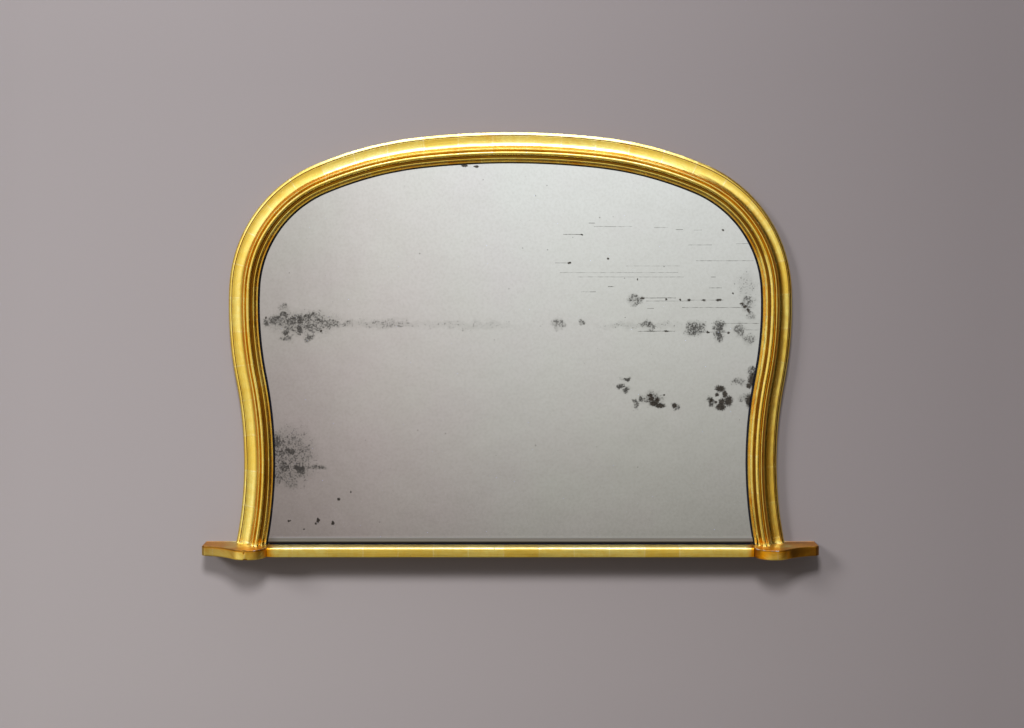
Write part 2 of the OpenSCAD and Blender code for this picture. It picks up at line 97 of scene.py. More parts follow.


# Each point has a place, the radius that its corner is worn to, and how much dark tone lies
# there: near 0 on the crests, 1 or more in the quirks. The tone is partly dark toning glaze and
# partly painted shade: the darker quirks and groove and the orange inner wall of the hollow are
# painted shade and painted warm reflection of the gold in its own hollows.
worn, soft = 0.5 * mm, 1.0 * mm
section = (
    [
        (0, back_h, 0, 0.3),
        (0, edge_h, worn, 0.2),
        (0.45 * bevel_w, edge_h + 0.52 * (bevel_h - edge_h), 6 * mm, 0.1),
        (bevel_w, bevel_h, worn, 0.15),
        (bevel_w, quirk_h, soft, 1.6),
        (bevel_w + quirk_w, quirk_h, soft, 1.6),
        (bevel_w + quirk_w, fillet_h, worn, 0.2),
    ]
    + bow(hollow_u, fillet_h + hollow_h, hollow_w, -90, -45, 14, 0.1, hollow_h)
    + bow(hollow_u, fillet_h + hollow_h, hollow_w, -42, -36, 2, 0.5, hollow_h)
    + bow(hollow_u, fillet_h + hollow_h, hollow_w, -33, -2, 10, 0.75, hollow_h)
    + [
        (ridge_u, ridge_h, ridge_w / 2, 0.1),
        (ridge_u + ridge_w, ridge_h, ridge_w / 2, 0.1),
        (ridge_u + ridge_w, inner_quirk_h, soft, 0.9),
        (high_u, inner_quirk_h, soft, 0.9),
    ]
    + bow(high_u + high_r, high_h - high_r, high_r, 180, 0, 20, 0.1)
    + [
        (groove_u, groove_h, soft, 1.25),
        (slip_u, groove_h, soft, 1.25),
        (slip_u, slip_h, soft, 0.2),
        (slip_u + slip_w, slip_h, soft, 0.1),
        (sight_u, sight_h + 2 * mm, worn, 0.3),
        (sight_u + 0.5 * mm, sight_h + mm, worn, 0.3),
        (black_u, sight_h + mm, 0, 0.4),
        (mould_w, sight_h, worn, 0.4),
        (mould_w, lip_h, 0, 0.4),
        (rebate_u, lip_h, 0, 0.4),
        (rebate_u, back_h, 0, 0.4),
    ]
)


def rounded(path, steps=4):
    """The closed path with each corner that has a radius turned into an arc."""
    made = []
    for k, (u, h, radius, tone_and_shade) in enumerate(path):
        corner = Vector((u, h))
        if not radius:
            made.append((corner, tone_and_shade))
            continue
        before = Vector(path[k - 1][:2]) - corner
        after = Vector(path[(k + 1) % len(path)][:2]) - corner
        half = before.angle(after) / 2
        reach = min(radius / math.tan(half), 0.45 * before.length, 0.45 * after.length)
        radius = reach * math.tan(half)
        middle = corner + (before.normalized() + after.normalized()).normalized() * (
            radius / math.sin(half)
        )
        first = (corner + before.normalized() * reach - middle).normalized()
        last = (corner + after.normalized() * reach - middle).normalized()
        made += [
            (middle + first.slerp(last, s / steps) * radius, tone_and_shade) for s in range(steps + 1)
        ]
    return made


profile = rounded(section)
across = [0.0]
for (here, _), (there, _) in zip(profile, profile[1:]):
    across.append(across[-1] + (there - here).length)


def select_none():
    """Leaves nothing selected."""
    bpy.ops.object.select_all(action="DESELECT")


def edit(piece):
    """Opens one piece in edit mode, with nothing else selected."""
    if bpy.context.object and bpy.context.object.mode != "OBJECT":
        bpy.ops.object.mode_set(mode="OBJECT")
    select_none()
    piece.select_set(True)
    bpy.context.view_layer.objects.active = piece
    bpy.ops.object.mode_set(mode="EDIT")


def leave_edit():
    """Goes back from edit mode, which also saves the edits."""
    bpy.ops.object.mode_set(mode="OBJECT")


def draw(name, points):
    """A new piece that is one closed line of vertices, drawn point by point."""
    select_none()
    bpy.ops.mesh.primitive_plane_add(size=mm, location=points[0])
    piece = bpy.context.object
    piece.name = piece.data.name = name
    bpy.ops.object.transform_apply()
    edit(piece)
    bpy.ops.mesh.select_mode(type="VERT")
    bpy.ops.mesh.select_all(action="SELECT")
    bpy.ops.mesh.merge(type="CENTER")
    for here, there in zip(points, points[1:]):
        bpy.ops.mesh.extrude_region_move(
            TRANSFORM_OT_translate={"value": Vector(there) - Vector(here)}
        )
    leave_edit()
    used = [k for e in piece.data.edges for k in e.vertices]
    for v in piece.data.vertices:
        v.select = used.count(v.index) == 1
    edit(piece)
    bpy.ops.mesh.edge_face_add()
    leave_edit()
    return piece


def apply_modifier(piece, kind, **settings):
    """Adds a modifier with these settings and applies it."""
    select_none()
    bpy.context.view_layer.objects.active = piece
    made = piece.modifiers.new(kind.lower(), kind)
    for key, value in settings.items():
        setattr(made, key, value)
    bpy.ops.object.modifier_apply(modifier=made.name)


def close_ends(piece):
    """Caps every open edge loop and turns all faces outwards."""
    edit(piece)
    bpy.ops.mesh.select_mode(type="EDGE")
    bpy.ops.mesh.select_all(action="DESELECT")
    bpy.ops.mesh.select_non_manifold()
    bpy.ops.mesh.edge_face_add()
    bpy.ops.mesh.select_all(action="SELECT")
    bpy.ops.mesh.normals_make_consistent(inside=False)
    leave_edit()


def smooth(piece, angle=40):
    """Shades a piece smooth, except at edges sharper than this angle in degrees."""
    select_none()
    piece.select_set(True)
    bpy.context.view_layer.objects.active = piece
    bpy.ops.object.shade_smooth_by_angle(angle=math.radians(angle))


# Slow waves and small lumps, as hand-run gesso has
lumps = bpy.data.textures.new("gesso_lumps", "CLOUDS")
lumps.noise_scale = 0.035
lumps.noise_depth = 2
lump_h = 0.35 * mm


def run_moulding(name, centre, radius, start, end, path_start, step=2.5 * mm):
    """One length of moulding, swept about its arc's centre between two headings, in degrees."""
    towards = (math.sin(math.radians(start)), math.cos(math.radians(start)))
    section_points = [
        (centre[0] + (radius - at.x) * towards[0], -at.y, centre[1] + (radius - at.x) * towards[1])
        for at, tone_and_shade in profile
    ]
    piece = draw(name, section_points)
    tree = kdtree.KDTree(len(section_points))
    for k, point in enumerate(section_points):
        tree.insert(point, k)
    tree.balance()
    order = [tree.find(v.co)[1] for v in piece.data.vertices]

    turn = math.radians(end - start)
    steps = math.ceil(abs(turn * radius) / step)
    edit(piece)
    bpy.ops.mesh.select_all(action="SELECT")
    bpy.ops.mesh.spin(steps=steps, angle=-turn, center=(centre[0], 0, centre[1]), axis=(0, 1, 0))
    leave_edit()
    close_ends(piece)

    mesh = piece.data
    tones_and_shade = mesh.attributes.new("tone_and_shade", "FLOAT", "POINT")
    rows = [divmod(v.index, len(order)) for v in mesh.vertices]
    tones_and_shade.data.foreach_set("value", [profile[order[k]][1] for row, k in rows])
    row_length = abs(radius * turn) / steps
    places = [(path_start + row * row_length, across[order[k]]) for row, k in rows]
    layer = mesh.uv_layers.new(name="moulding")
    layer.data.foreach_set("uv", [c for loop in mesh.loops for c in places[loop.vertex_index]])
    apply_modifier(piece, "DISPLACE", texture=lumps, texture_coords="LOCAL", strength=lump_h)
    return piece


# The left half's places along the moulding start here, so that its leaves differ from the right's
left_path = 5.0
mouldings = {}
point, heading, path = Vector((0, top_z)), 0, 0
for name, radius, turned in arcs:
    down = Vector((math.sin(math.radians(heading)), math.cos(math.radians(heading))))
    centre = point - radius * down
    end = heading + turned
    reach = 1.1 if name == "waist" else 1
    for side, hand in ((1, "right"), (-1, "left")):
        if name == "crown":
            if side < 0:
                continue
            piece = run_moulding(
                "gilt_crown", centre, radius, -end, end, -radius * math.radians(turned)
            )
            mouldings["moulding_crown"] = piece
            continue
        piece = run_moulding(
            f"gilt_{name}_{hand}",
            (side * centre.x, centre.y),
            radius,
            side * heading,
            side * (heading + reach * turned),
            path if side > 0 else left_path + path,
        )
        mouldings[f"moulding_{name}_{hand}"] = piece
    tip = Vector((math.sin(math.radians(end)), math.cos(math.radians(end))))
    point = centre + radius * tip
    path += abs(radius * math.radians(turned))
    heading = end


def swell(piece, height, share_at):
    """Raises the surface by a share of this height at each vertex, or lowers it."""
    group = piece.vertex_groups.new(name="swell")
    for v in piece.data.vertices:
        share = share_at(v.co)
        if share > 0:
            group.add([v.index], share, "REPLACE")
    apply_modifier(piece, "DISPLACE", vertex_group="swell", mid_level=0, strength=height)
    piece.vertex_groups.clear()


# The waist's arc, whose centre lies out beyond it, gives the width at the foot
waist_centre, waist_r = centre, -radius


def foot_x(inset):
    """Where the line that lies inset from the outer edge meets the top of the plinth."""
    return waist_centre.x - math.sqrt((waist_r + inset) ** 2 - (waist_centre.y - base_top) ** 2)


# Gesso was run into the joint between each foot and its plinth, so the foot flares out a little
flare_h, flare_w = 6 * mm, 1.6 * mm
flare_rows = 4
foot_glow_h = 30 * mm


def flare(at):
    """Largest at the plinth, and nothing on the black edge beside the glass."""
    at_glass = abs(at.x) < foot_x(black_u)
    return 0 if at_glass else max(0, 1 - (at.z - base_top) / flare_h) ** 2


for node, piece in mouldings.items():
    if "waist" in node:
        edit(piece)
        for row in range(flare_rows):
            bpy.ops.mesh.select_all(action="SELECT")
            bpy.ops.mesh.bisect(
                plane_co=(0, 0, base_top + row * flare_h / flare_rows),
                plane_no=(0, 0, 1),
                clear_inner=row == 0,
            )
        leave_edit()
        swell(piece, flare_w, flare)
        close_ends(piece)
        # Painted light: the tone is lowered near the plinth, so the foot looks lit by the plinth's
        # gold
        for at, tone_and_shade in zip(piece.data.vertices, piece.data.attributes["tone_and_shade"].data):
            tone_and_shade.value *= min(1, 0.3 + max(0, at.co.z - base_top) / foot_glow_h)
    smooth(piece)


def plug(tree, node, inputs):
    """Sets a node's inputs, by name or number, from values or other nodes' sockets."""
    for key, value in dict(inputs).items():
        socket = node.inputs[key]
        if isinstance(value, bpy.types.NodeSocket):
            tree.links.new(value, socket)
        elif socket.type == "RGBA" and len(value) == 3:
            socket.default_value = (*value, 1)
        else:
            socket.default_value = value


def add(tree, kind, inputs=(), **settings):
    """A new shader node."""
    node = tree.nodes.new("ShaderNode" + kind)
    for key, value in settings.items():
        setattr(node, key, value)
    plug(tree, node, inputs)
    return node


def calc(tree, operation, *values, clamp=False):
    """The result of a sum on numbers or sockets."""
    node = add(tree, "Math", enumerate(values), operation=operation, use_clamp=clamp)
    return node.outputs[0]


def times(tree, first, second, clamp=False):
    """The product of two numbers or sockets."""
    return calc(tree, "MULTIPLY", first, second, clamp=clamp)


def scaled(tree, value, factor, start, clamp=False):
    """The value times a factor, counted up from start."""
    return calc(tree, "MULTIPLY_ADD", value, factor, start, clamp=clamp)


def largest(tree, *values):
    """The largest of several sockets."""
    top = values[0]
    for value in values[1:]:
        top = calc(tree, "MAXIMUM", top, value)
    return top


def blend(tree, share, first, second, kind="MIX"):
    """Two colours mixed."""
    colours = {0: share, 6: first, 7: second}
    return add(tree, "Mix", colours, data_type="RGBA", blend_type=kind).outputs[2]


def between(tree, value, low, high, start=0.0, end=1.0):
    """Goes smoothly from start, where value is low, to end, where it is high."""
    places = {0: value, 1: low, 2: high, 3: start, 4: end}
    return add(tree, "MapRange", places, interpolation_type="SMOOTHSTEP").outputs[0]


def noise(tree, place, scale, stretch=(1, 1, 1), detail=2.0, shift=(0, 0, 0)):
    """Soft noise of this scale, in cycles a metre, with its own scale along each axis."""
    moved = add(tree, "Mapping", {"Vector": place, "Scale": stretch, "Location": shift})
    inputs = {"Vector": moved.outputs[0], "Scale": scale, "Detail": detail}
    return add(tree, "TexNoise", inputs).outputs["Fac"]


def on_piece(tree):
    """Places on the piece itself, in metres in the shared frame."""
    return add(tree, "TexCoord").outputs["Object"]


def random(tree, *values):
    """A number from 0 to 1 that is new for each whole set of values."""
    joined = add(tree, "CombineXYZ", enumerate(values))
    return add(tree, "TexWhiteNoise", {"Vector": joined.outputs[0]}).outputs["Value"]


def new_group(name, inputs, outputs):
    """An empty node group, its inner inputs and the node that takes its outputs."""
    tree = bpy.data.node_groups.new(name, "ShaderNodeTree")
    for way, sockets in (("INPUT", inputs), ("OUTPUT", outputs)):
        for socket, kind in sockets.items():
            tree.interface.new_socket(name=socket, in_out=way, socket_type="NodeSocket" + kind)
    return tree, tree.nodes.new("NodeGroupInput").outputs, tree.nodes.new("NodeGroupOutput")


def new_material(name):
    """A material that has only its Principled shader: the material, its tree and the shader."""
    made = bpy.data.materials.new(name)
    made.use_nodes = True
    return made, made.node_tree, made.node_tree.nodes["Principled BSDF"]


def bump(tree, height):
    """A normal from a height in millimetres."""
    return add(tree, "Bump", {"Height": height, "Distance": mm}).outputs[0]


# Gold leaf: squares laid one after another, each a little over the last, on dark clay and gesso,
# then burnished, and toned with brown glaze in the quirks. Place is in metres.
leaf, leaf_row = 79.5 * mm, 43 * mm
lap_w, sway_w = 3 * mm, 5 * mm
gold_deep = (0.86, 0.54, 0.05)
gold_pale = (0.91, 0.76, 0.2)
gold_lap = (1.0, 0.88, 0.45)
clay = (0.30, 0.10, 0.035)
gesso = (0.50, 0.47, 0.37)
glaze_and_shade = (0.86, 0.48, 0.04)
umber_dirt_and_shade = (0.10, 0.05, 0.01)
shade_brown = (0.09, 0.065, 0.03)

gilding, given, result = new_group(
    "gilding",
    {"Place": "Vector", "Tone and shade": "Float", "Worn": "Float", "Matt": "Float"},
    {"Color": "Color", "Roughness": "Float", "Metallic": "Float", "Height": "Float"},
)
place = given["Place"]
along, crosswise, _ = add(gilding, "SeparateXYZ", {0: place}).outputs
# Which leaf covers a place, and where its lap over the last one lies
row = calc(gilding, "FLOOR", times(gilding, crosswise, 1 / leaf_row))
sway = scaled(gilding, noise(gilding, place, 45), sway_w, along)
laid = scaled(gilding, sway, 1 / leaf, random(gilding, row, 0.5, 0.5))
number = calc(gilding, "FLOOR", laid)
along_leaf = times(gilding, calc(gilding, "FRACT", laid), leaf)
leaf_tint = random(gilding, number, row, 0.5)
whole = between(gilding, noise(gilding, place, 60, shift=(3, 1, 0)), 0.36, 0.46)
lap = times(gilding, between(gilding, along_leaf, 0.7 * lap_w, lap_w, 1, 0), whole)
lap_edge = calc(gilding, "COMPARE", along_leaf, lap_w, 0.35 * mm)
# Each leaf has its own gold, deeper in patches and paler where two leaves lap
leaves = blend(gilding, between(gilding, leaf_tint, 0, 1, 0.25, 0.75), gold_deep, gold_pale)
leaves = blend(gilding, times(gilding, lap, 0.35), leaves, gold_lap)
patches = noise(gilding, place, 75, detail=5, shift=(4, 4, 0))
leaves = blend(gilding, between(gilding, patches, 0.35, 0.7, 0, 0.5), leaves, gold_deep)
# Brown glaze where the tone is high, and umber where it is highest. As the tone holds painted
# shade, this brown and umber are partly painted shade.
drift = noise(gilding, place, 12, shift=(1, 2, 0))
toned_and_shaded = calc(gilding, "ADD", given["Tone and shade"], drift)
toned_and_shaded = scaled(gilding, patches, 0.3, toned_and_shaded)
brown = between(gilding, toned_and_shaded, 0.75, 1.45)
leaves = blend(gilding, brown, leaves, blend(gilding, 1.0, leaves, glaze_and_shade, "MULTIPLY"))
dark = between(gilding, toned_and_shaded, 1.4, 1.95, 0, 0.75)
leaves = blend(gilding, dark, leaves, umber_dirt_and_shade)
# Rubbed through to the clay in places, spotted with dirt, and worn to the gesso where marked
worn_through = between(gilding, noise(gilding, place, 260, detail=6), 0.67, 0.72)
worn_area = between(gilding, noise(gilding, place, 17, shift=(5, 5, 0)), 0.52, 0.62)
rubbed = times(gilding, worn_through, worn_area)
leaves = blend(gilding, rubbed, leaves, clay)
dots = between(gilding, noise(gilding, place, 420, detail=4, shift=(7, 7, 0)), 0.68, 0.73)
dots = times(gilding, dots, 0.7)
leaves = blend(gilding, dots, leaves, umber_dirt_and_shade)
bare = calc(gilding, "ADD", given["Worn"], noise(gilding, place, 90))
bare = between(gilding, bare, 1.15, 1.4, 0, 0.8)
leaves = blend(gilding, bare, leaves, gesso)
dull = largest(gilding, dots, rubbed, bare)
# The burnisher has left streaks along the piece
streaks = noise(gilding, place, 1, stretch=(9, 700, 1), detail=3)
grains = noise(gilding, place, 900)
shade = between(gilding, streaks, 0.25, 0.75, 0.84, 1.06)
shading = add(gilding, "CombineColor", {0: shade, 1: shade, 2: shade}).outputs[0]
rough = calc(gilding, "ADD", between(gilding, streaks, 0.2, 0.8, 0.15, 0.25), given["Matt"])
rough = scaled(gilding, dull, 0.3, rough)
rough = scaled(gilding, brown, 0.08, rough)
rough = scaled(gilding, grains, 0.05, rough)
height = scaled(gilding, lap, 0.03, times(gilding, grains, 0.008))
height = scaled(gilding, drift, 0.5, height)
height = scaled(gilding, noise(gilding, place, 110), 0.02, height)
height = scaled(gilding, dull, -0.02, height)
height = scaled(gilding, lap_edge, 0.02, height)
plug(
    gilding,
    result,
    {
        "Color": blend(gilding, 1.0, leaves, shading, "MULTIPLY"),
        "Roughness": rough,
        "Metallic": scaled(gilding, dull, -0.65, 1.0),
        "Height": height,
    },
)


def gilt_material(name, place_map, matt):
    """Gold leaf on a piece whose UV map gives places along and across it, in metres."""
    made, tree, shader = new_material(name)
    leafed = add(
        tree,
        "Group",
        {
            "Place": add(tree, "UVMap", uv_map=place_map).outputs[0],
            "Tone and shade": add(tree, "Attribute", attribute_name="tone_and_shade").outputs["Fac"],
            "Worn": add(tree, "Attribute", attribute_name="worn").outputs["Fac"],
            "Matt": matt,
        },
        node_tree=gilding,
    ).outputs
    # Painted shade: where marked, the gold is mixed towards dark brown
    dimmed_end = add(tree, "Attribute", attribute_name="dimmed_end").outputs["Fac"]
    looks = {
        "Base Color": blend(tree, dimmed_end, leafed["Color"], shade_brown),
        "Roughness": leafed["Roughness"],
        "Metallic": leafed["Metallic"],
        "Normal": bump(tree, leafed["Height"]),
    }
    plug(tree, shader, looks)
    return made


gilt = gilt_material("moulding_gilt", "moulding", 0.0)

# The edge beside the glass is painted black, so that no gold shows in the mirror's rim
black, tree, shader = new_material("black_size")
brushed = noise(tree, on_piece(tree), 300, detail=4)
plug(
    tree,
    shader,
    {
        "Base Color": blend(tree, brushed, (0.004, 0.004, 0.006), (0.012, 0.011, 0.012)),
        "Roughness": between(tree, brushed, 0.2, 0.8, 0.85, 0.95),
        "Specular IOR Level": 0.12,
        "Normal": bump(tree, times(tree, brushed, 0.05)),
    },
)


# Old pine, for the lengths' bare backs and the boards behind. The grain runs along X of Place.
ring_pitch = 5 * mm
wash_centre_z = 450 * mm
ochre, knot_brown, grime = (0.42, 0.24, 0.06), (0.10, 0.045, 0.018), (0.07, 0.05, 0.035)
pine_grain, given, result = new_group(
    "pine_grain",
    {"Place": "Vector", "Pale": "Color", "Dark": "Color"},
    {"Color": "Color", "Roughness": "Float", "Height": "Float"},
)
place = given["Place"]
slow = add(pine_grain, "Mapping", {"Vector": place, "Scale": (0.06, 1, 1)}).outputs[0]
# A few knots, set far apart, round which the rings are pulled
spread_out = add(pine_grain, "Mapping", {"Vector": place, "Scale": (1.8, 0.01, 3.6)}).outputs[0]
knots = add(pine_grain, "TexVoronoi", {"Vector": spread_out}).outputs
knot_chance = add(pine_grain, "SeparateColor", {0: knots["Color"]}).outputs[0]
has_knot = calc(pine_grain, "GREATER_THAN", knot_chance, 0.45)
knot = times(pine_grain, between(pine_grain, knots["Distance"], 0.035, 0.05, 1, 0), has_knot)
pull = times(pine_grain, between(pine_grain, knots["Distance"], 0, 0.25, 9, 0), has_knot)
rings = add(
    pine_grain,
    "TexWave",
    {
        "Vector": slow,
        "Scale": 2 * math.pi / (20 * ring_pitch),
        "Distortion": 5,
        "Detail": 2,
        "Detail Scale": 0.25,
        "Phase Offset": pull,
    },
    wave_type="RINGS",
    rings_direction="X",
    wave_profile="SAW",
).outputs["Fac"]
fibres = noise(pine_grain, place, 1, stretch=(14, 900, 900), detail=3)
dirt = noise(pine_grain, place, 7, detail=5, shift=(3, 3, 3))
sawn = noise(pine_grain, place, 1, stretch=(420, 25, 25), detail=1)
figure = scaled(pine_grain, rings, 0.6, times(pine_grain, fibres, 0.4))
wood = blend(pine_grain, figure, given["Pale"], given["Dark"])
wood = blend(pine_grain, knot, wood, knot_brown)
wood = blend(pine_grain, between(pine_grain, dirt, 0.45, 0.8, 0, 0.6), wood, grime)
relief = scaled(pine_grain, sawn, 0.15, times(pine_grain, rings, 0.06))
relief = scaled(pine_grain, fibres, 0.12, relief)
roughness = between(pine_grain, fibres, 0.2, 0.8, 0.62, 0.82)
plug(pine_grain, result, {"Color": wood, "Roughness": roughness, "Height": relief})


def pine_material(name, pale, dark, turn=0.0, start=(0, 0, 0), place_map=None, washed=False):
    """Pine whose grain runs along X turned by this angle, or along a UV map.

    Washed pine has yellow ochre brushed on the faces that look out from the mirror's middle.
    """
    made, tree, shader = new_material(name)
    where = on_piece(tree)
    grown = add(tree, "UVMap", uv_map=place_map).outputs[0] if place_map else where
    set_out = add(tree, "Mapping", {0: grown, "Location": start, "Rotation": (0, turn, 0)})
    inputs = {"Place": set_out.outputs[0], "Pale": pale, "Dark": dark}
    grain = add(tree, "Group", inputs, node_tree=pine_grain).outputs
    colour = grain["Color"]
    if washed:
        facing = add(tree, "NewGeometry").outputs["Normal"]
        centred = {0: where, "Location": (0, 0, -wash_centre_z), "Scale": (1, 0, 1)}
        spokes = add(tree, "Mapping", centred).outputs[0]
        along = add(tree, "VectorMath", {0: facing, 1: spokes}, operation="DOT_PRODUCT")
        outwards = along.outputs["Value"]
        patchy = scaled(tree, noise(tree, where, 60, detail=4), 0.12, outwards)
        colour = blend(tree, between(tree, patchy, 0.12, 0.2), colour, ochre)
    normal = bump(tree, grain["Height"])
    plug(tree, shader, {"Base Color": colour, "Roughness": grain["Roughness"], "Normal": normal})
    return made


pine_pale, pine_dark = (0.47, 0.31, 0.16), (0.30, 0.17, 0.075)
bare_pine = pine_material("moulding_pine", pine_pale, pine_dark, place_map="moulding")


def face_finishes(piece, finishes, pick):
    """Gives a piece its materials, and each face the one that pick names by its number."""
    for finish in finishes:
        piece.data.materials.append(finish)
    for face in piece.data.polygons:
        face.material_index = pick(face)


black_from = next(a for a, (at, tone_and_shade) in zip(across, profile) if at.x > black_u - worn)
gilt_n, black_n, bare_n = 0, 1, 2
facing_back = 0.7


def moulding_finish(piece):
    """Gold leaf in front, black beside the glass and bare wood behind and at the ends."""
    places = piece.data.uv_layers["moulding"].data

    def pick(face):
        if face.normal.y > facing_back or face.loop_total > 4:
            return bare_n
        reached = sum(places[k].uv.y for k in face.loop_indices) / face.loop_total
        return black_n if reached > black_from else gilt_n

    return pick


for node, piece in mouldings.items():
    face_finishes(piece, [gilt, black, bare_pine], moulding_finish(piece))
    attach(piece, "frame")
    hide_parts(node)

# ---- Base rail ------------------------------------------------------------------------------
# A flat pine board between the two plinths, rebated for the glass, with its front edge rounded
# over. It is dowelled at both ends and gilded on top and in front, but not underneath.

rail_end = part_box("base_rail")[1].x
rail_d = -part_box("base_rail")[0].y
rebate_z = base_top - rebate_w
board_h, board_z = 9 * mm, 4 * mm
nose_r, under_r = 5 * mm, 1.2 * mm
fall = 0.8 * mm
ledge_h = 37.5 * mm
rail_step = 2.5 * mm
rail_section = [
    (board_h, board_z, 0, 0),
    (0, board_z, 0, 0),
    (0, 0, 0, 0),
    (rail_d, 0, under_r, 0),
    (rail_d, base_top - fall, nose_r, 0),
    (ledge_h, base_top, 0, 0),
    (lip_h, base_top, 0, 0),
    (lip_h, rebate_z, 0, 0),
    (board_h, rebate_z, 0, 0),
]
rail = draw("gilt_rail", [(-rail_end, -at.x, at.y) for at, tone_and_shade in rounded(rail_section, 8)])
edit(rail)
bpy.ops.mesh.select_all(action="SELECT")
steps = round(2 * rail_end / rail_step)
for _ in range(steps):
    bpy.ops.mesh.extrude_region_move(
        TRANSFORM_OT_translate={"value": (2 * rail_end / steps, 0, 0)}
    )
leave_edit()
apply_modifier(rail, "DISPLACE", texture=lumps, texture_coords="LOCAL", strength=lump_h)

# Gesso and gold build up a little where the rail runs into the plinths
joint_reach, joint_h = 22 * mm, 1.2 * mm
swell(
    rail,
    joint_h,
    lambda at: max(0, 1 - (rail_end - abs(at.x)) / joint_reach) ** 2 if -at.y > ledge_h else 0,
)
close_ends(rail)
smooth(rail)


def lay_out(piece, start):
    """A UV map in metres, for a piece gilded on top and in front: along it, then up and over."""
    layer = piece.data.uv_layers.new(name="board")
    for loop in piece.data.loops:
        at = piece.data.vertices[loop.vertex_index].co
        layer.data[loop.index].uv = (at.x + start[0], at.z - at.y + start[1])


def mark(piece, name, amount_at):
    """Stores an amount at each vertex, for the gilding to read."""
    amounts = piece.data.attributes.new(name, "FLOAT", "POINT")
    amounts.data.foreach_set("value", [amount_at(v.co) for v in piece.data.vertices])


def board_finish(face):
    """Gold on top and in front, black beside the glass and bare wood elsewhere."""
    if face.normal.y > facing_back or face.normal.z < -facing_back:
        return bare_n
    if -face.center.y < ledge_h and abs(face.center.x) < rail_end:
        return black_n
    return gilt_n


# The leaves on the rail start here, so that the laps fall where they do on the real one
rail_start = (20.008, -54 * mm)
lay_out(rail, rail_start)
# The rail's tone rises towards the plinths: painted shade in the corners where it meets them
mark(rail, "tone_and_shade", lambda at: 0.05 + 0.7 * max(0, 1 - (rail_end - abs(at.x)) / joint_reach))
rail_gilt = gilt_material("rail_gilt", "board", 0.12)
under_pine = pine_material("rail_pine", pine_pale, pine_dark, start=(0.3, 0.03, 0.04))
face_finishes(rail, [rail_gilt, black, under_pine], board_finish)
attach(rail, "frame")
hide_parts("base_rail")

# ---- Plinths --------------------------------------------------------------------------------
# A pine board stands out under each upright, with a rounded lobe in front. It is dowelled to the
# rail and screwed up into the foot. Its gold is matt on top, and rubbed to the gesso at the rim.

end_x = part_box("plinth_right")[1].x
lobe_d = -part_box("plinth_right")[0].y
lobe_r, lobe_turn = 42 * mm, 46
plinth_end_d, cant = 58 * mm, 7 * mm
rim_r = 1.6 * mm
cell = 4 * mm
lobe_x = rail_end + lobe_r
cant_corner = Vector((end_x - cant, plinth_end_d))
radial = Vector((math.cos(math.radians(lobe_turn)), math.sin(math.radians(lobe_turn))))
lobe_end = Vector((lobe_x, lobe_d - lobe_r)) + lobe_r * radial
# The lobe runs over into a hollow sweep that meets the end's canted corner
chord = cant_corner - lobe_end
sweep_r = chord.length_squared / (2 * chord.dot(radial))
sweep_centre = lobe_end + sweep_r * radial
to_corner = cant_corner - sweep_centre
sweep_end = 360 + math.degrees(math.atan2(to_corner.y, to_corner.x))
outline = (
    [(rail_end, 0)]
    + [at[:2] for at in bow(lobe_x, lobe_d - lobe_r, lobe_r, 180, lobe_turn, 32, 0)]
    + [at[:2] for at in bow(*sweep_centre, sweep_r, 180 + lobe_turn, sweep_end, 12, 0)][1:]
    + [(end_x, plinth_end_d - cant), (end_x, 0)]
)


def choose_edges(piece, wanted):
    """Selects the edges whose two ends are both wanted, and opens the piece on them."""
    edit(piece)
    bpy.ops.mesh.select_all(action="DESELECT")
    bpy.ops.mesh.select_mode(type="EDGE")
    leave_edit()
    vertices = piece.data.vertices
    for edge in piece.data.edges:
        edge.select = wanted(*(vertices[k].co for k in edge.vertices))
    edit(piece)


def cut_rows(piece, normal, first, last, pitch):
    """Cuts a piece into even rows, so that it has points enough to shape."""
    edit(piece)
    count = round((last - first) / pitch)
    for k in range(1, count):
        bpy.ops.mesh.select_all(action="SELECT")
        bpy.ops.mesh.bisect(
            plane_co=Vector(normal) * (first + (last - first) * k / count), plane_no=normal
        )
    leave_edit()


def notch(piece, x, depth, z):
    """Cuts the rebate of the rail on into a plinth, as far as x."""
    select_none()
    low = Vector((rail_end - mm, -depth, z))
    high = Vector((x, mm, base_top + mm))
    bpy.ops.mesh.primitive_cube_add(size=1, location=(low + high) / 2, scale=high - low)
    cutter = bpy.context.object
    apply_modifier(piece, "BOOLEAN", object=cutter, operation="DIFFERENCE", solver="EXACT")
    bpy.data.objects.remove(cutter)


plinth = draw("gilt_plinth_right", [(x, -depth, 0) for x, depth in outline])
edit(plinth)
bpy.ops.mesh.select_all(action="SELECT")
bpy.ops.mesh.edge_face_add()
bpy.ops.mesh.extrude_region_move(TRANSFORM_OT_translate={"value": (0, 0, base_top)})
bpy.ops.mesh.select_all(action="SELECT")
bpy.ops.mesh.normals_make_consistent(inside=False)
leave_edit()


def on_rim(a, b):
    """The edges round the top and underside, and up the end's corners, but not at a joint."""
    level = abs(a.z - b.z) < worn
    at_joint = max(a.x, b.x) < rail_end + worn
    at_wall = max(-a.y, -b.y) < worn
    end_corner = not level and a.x > end_x - 2 * cant and -a.y > worn
    return end_corner or (level and not at_joint and not at_wall)


choose_edges(plinth, on_rim)
bpy.ops.mesh.bevel(offset=rim_r, segments=3, affect="EDGES")
leave_edit()

ledge_w = 14 * mm
notch(plinth, foot_x(rebate_u), lip_h, rebate_z)
notch(plinth, foot_x(rebate_u - ledge_w), board_h, board_z)
cut_rows(plinth, (1, 0, 0), rail_end, end_x, cell)
cut_rows(plinth, (0, -1, 0), 0, lobe_d, cell)
cut_rows(plinth, (0, 0, 1), 0, base_top, cell)

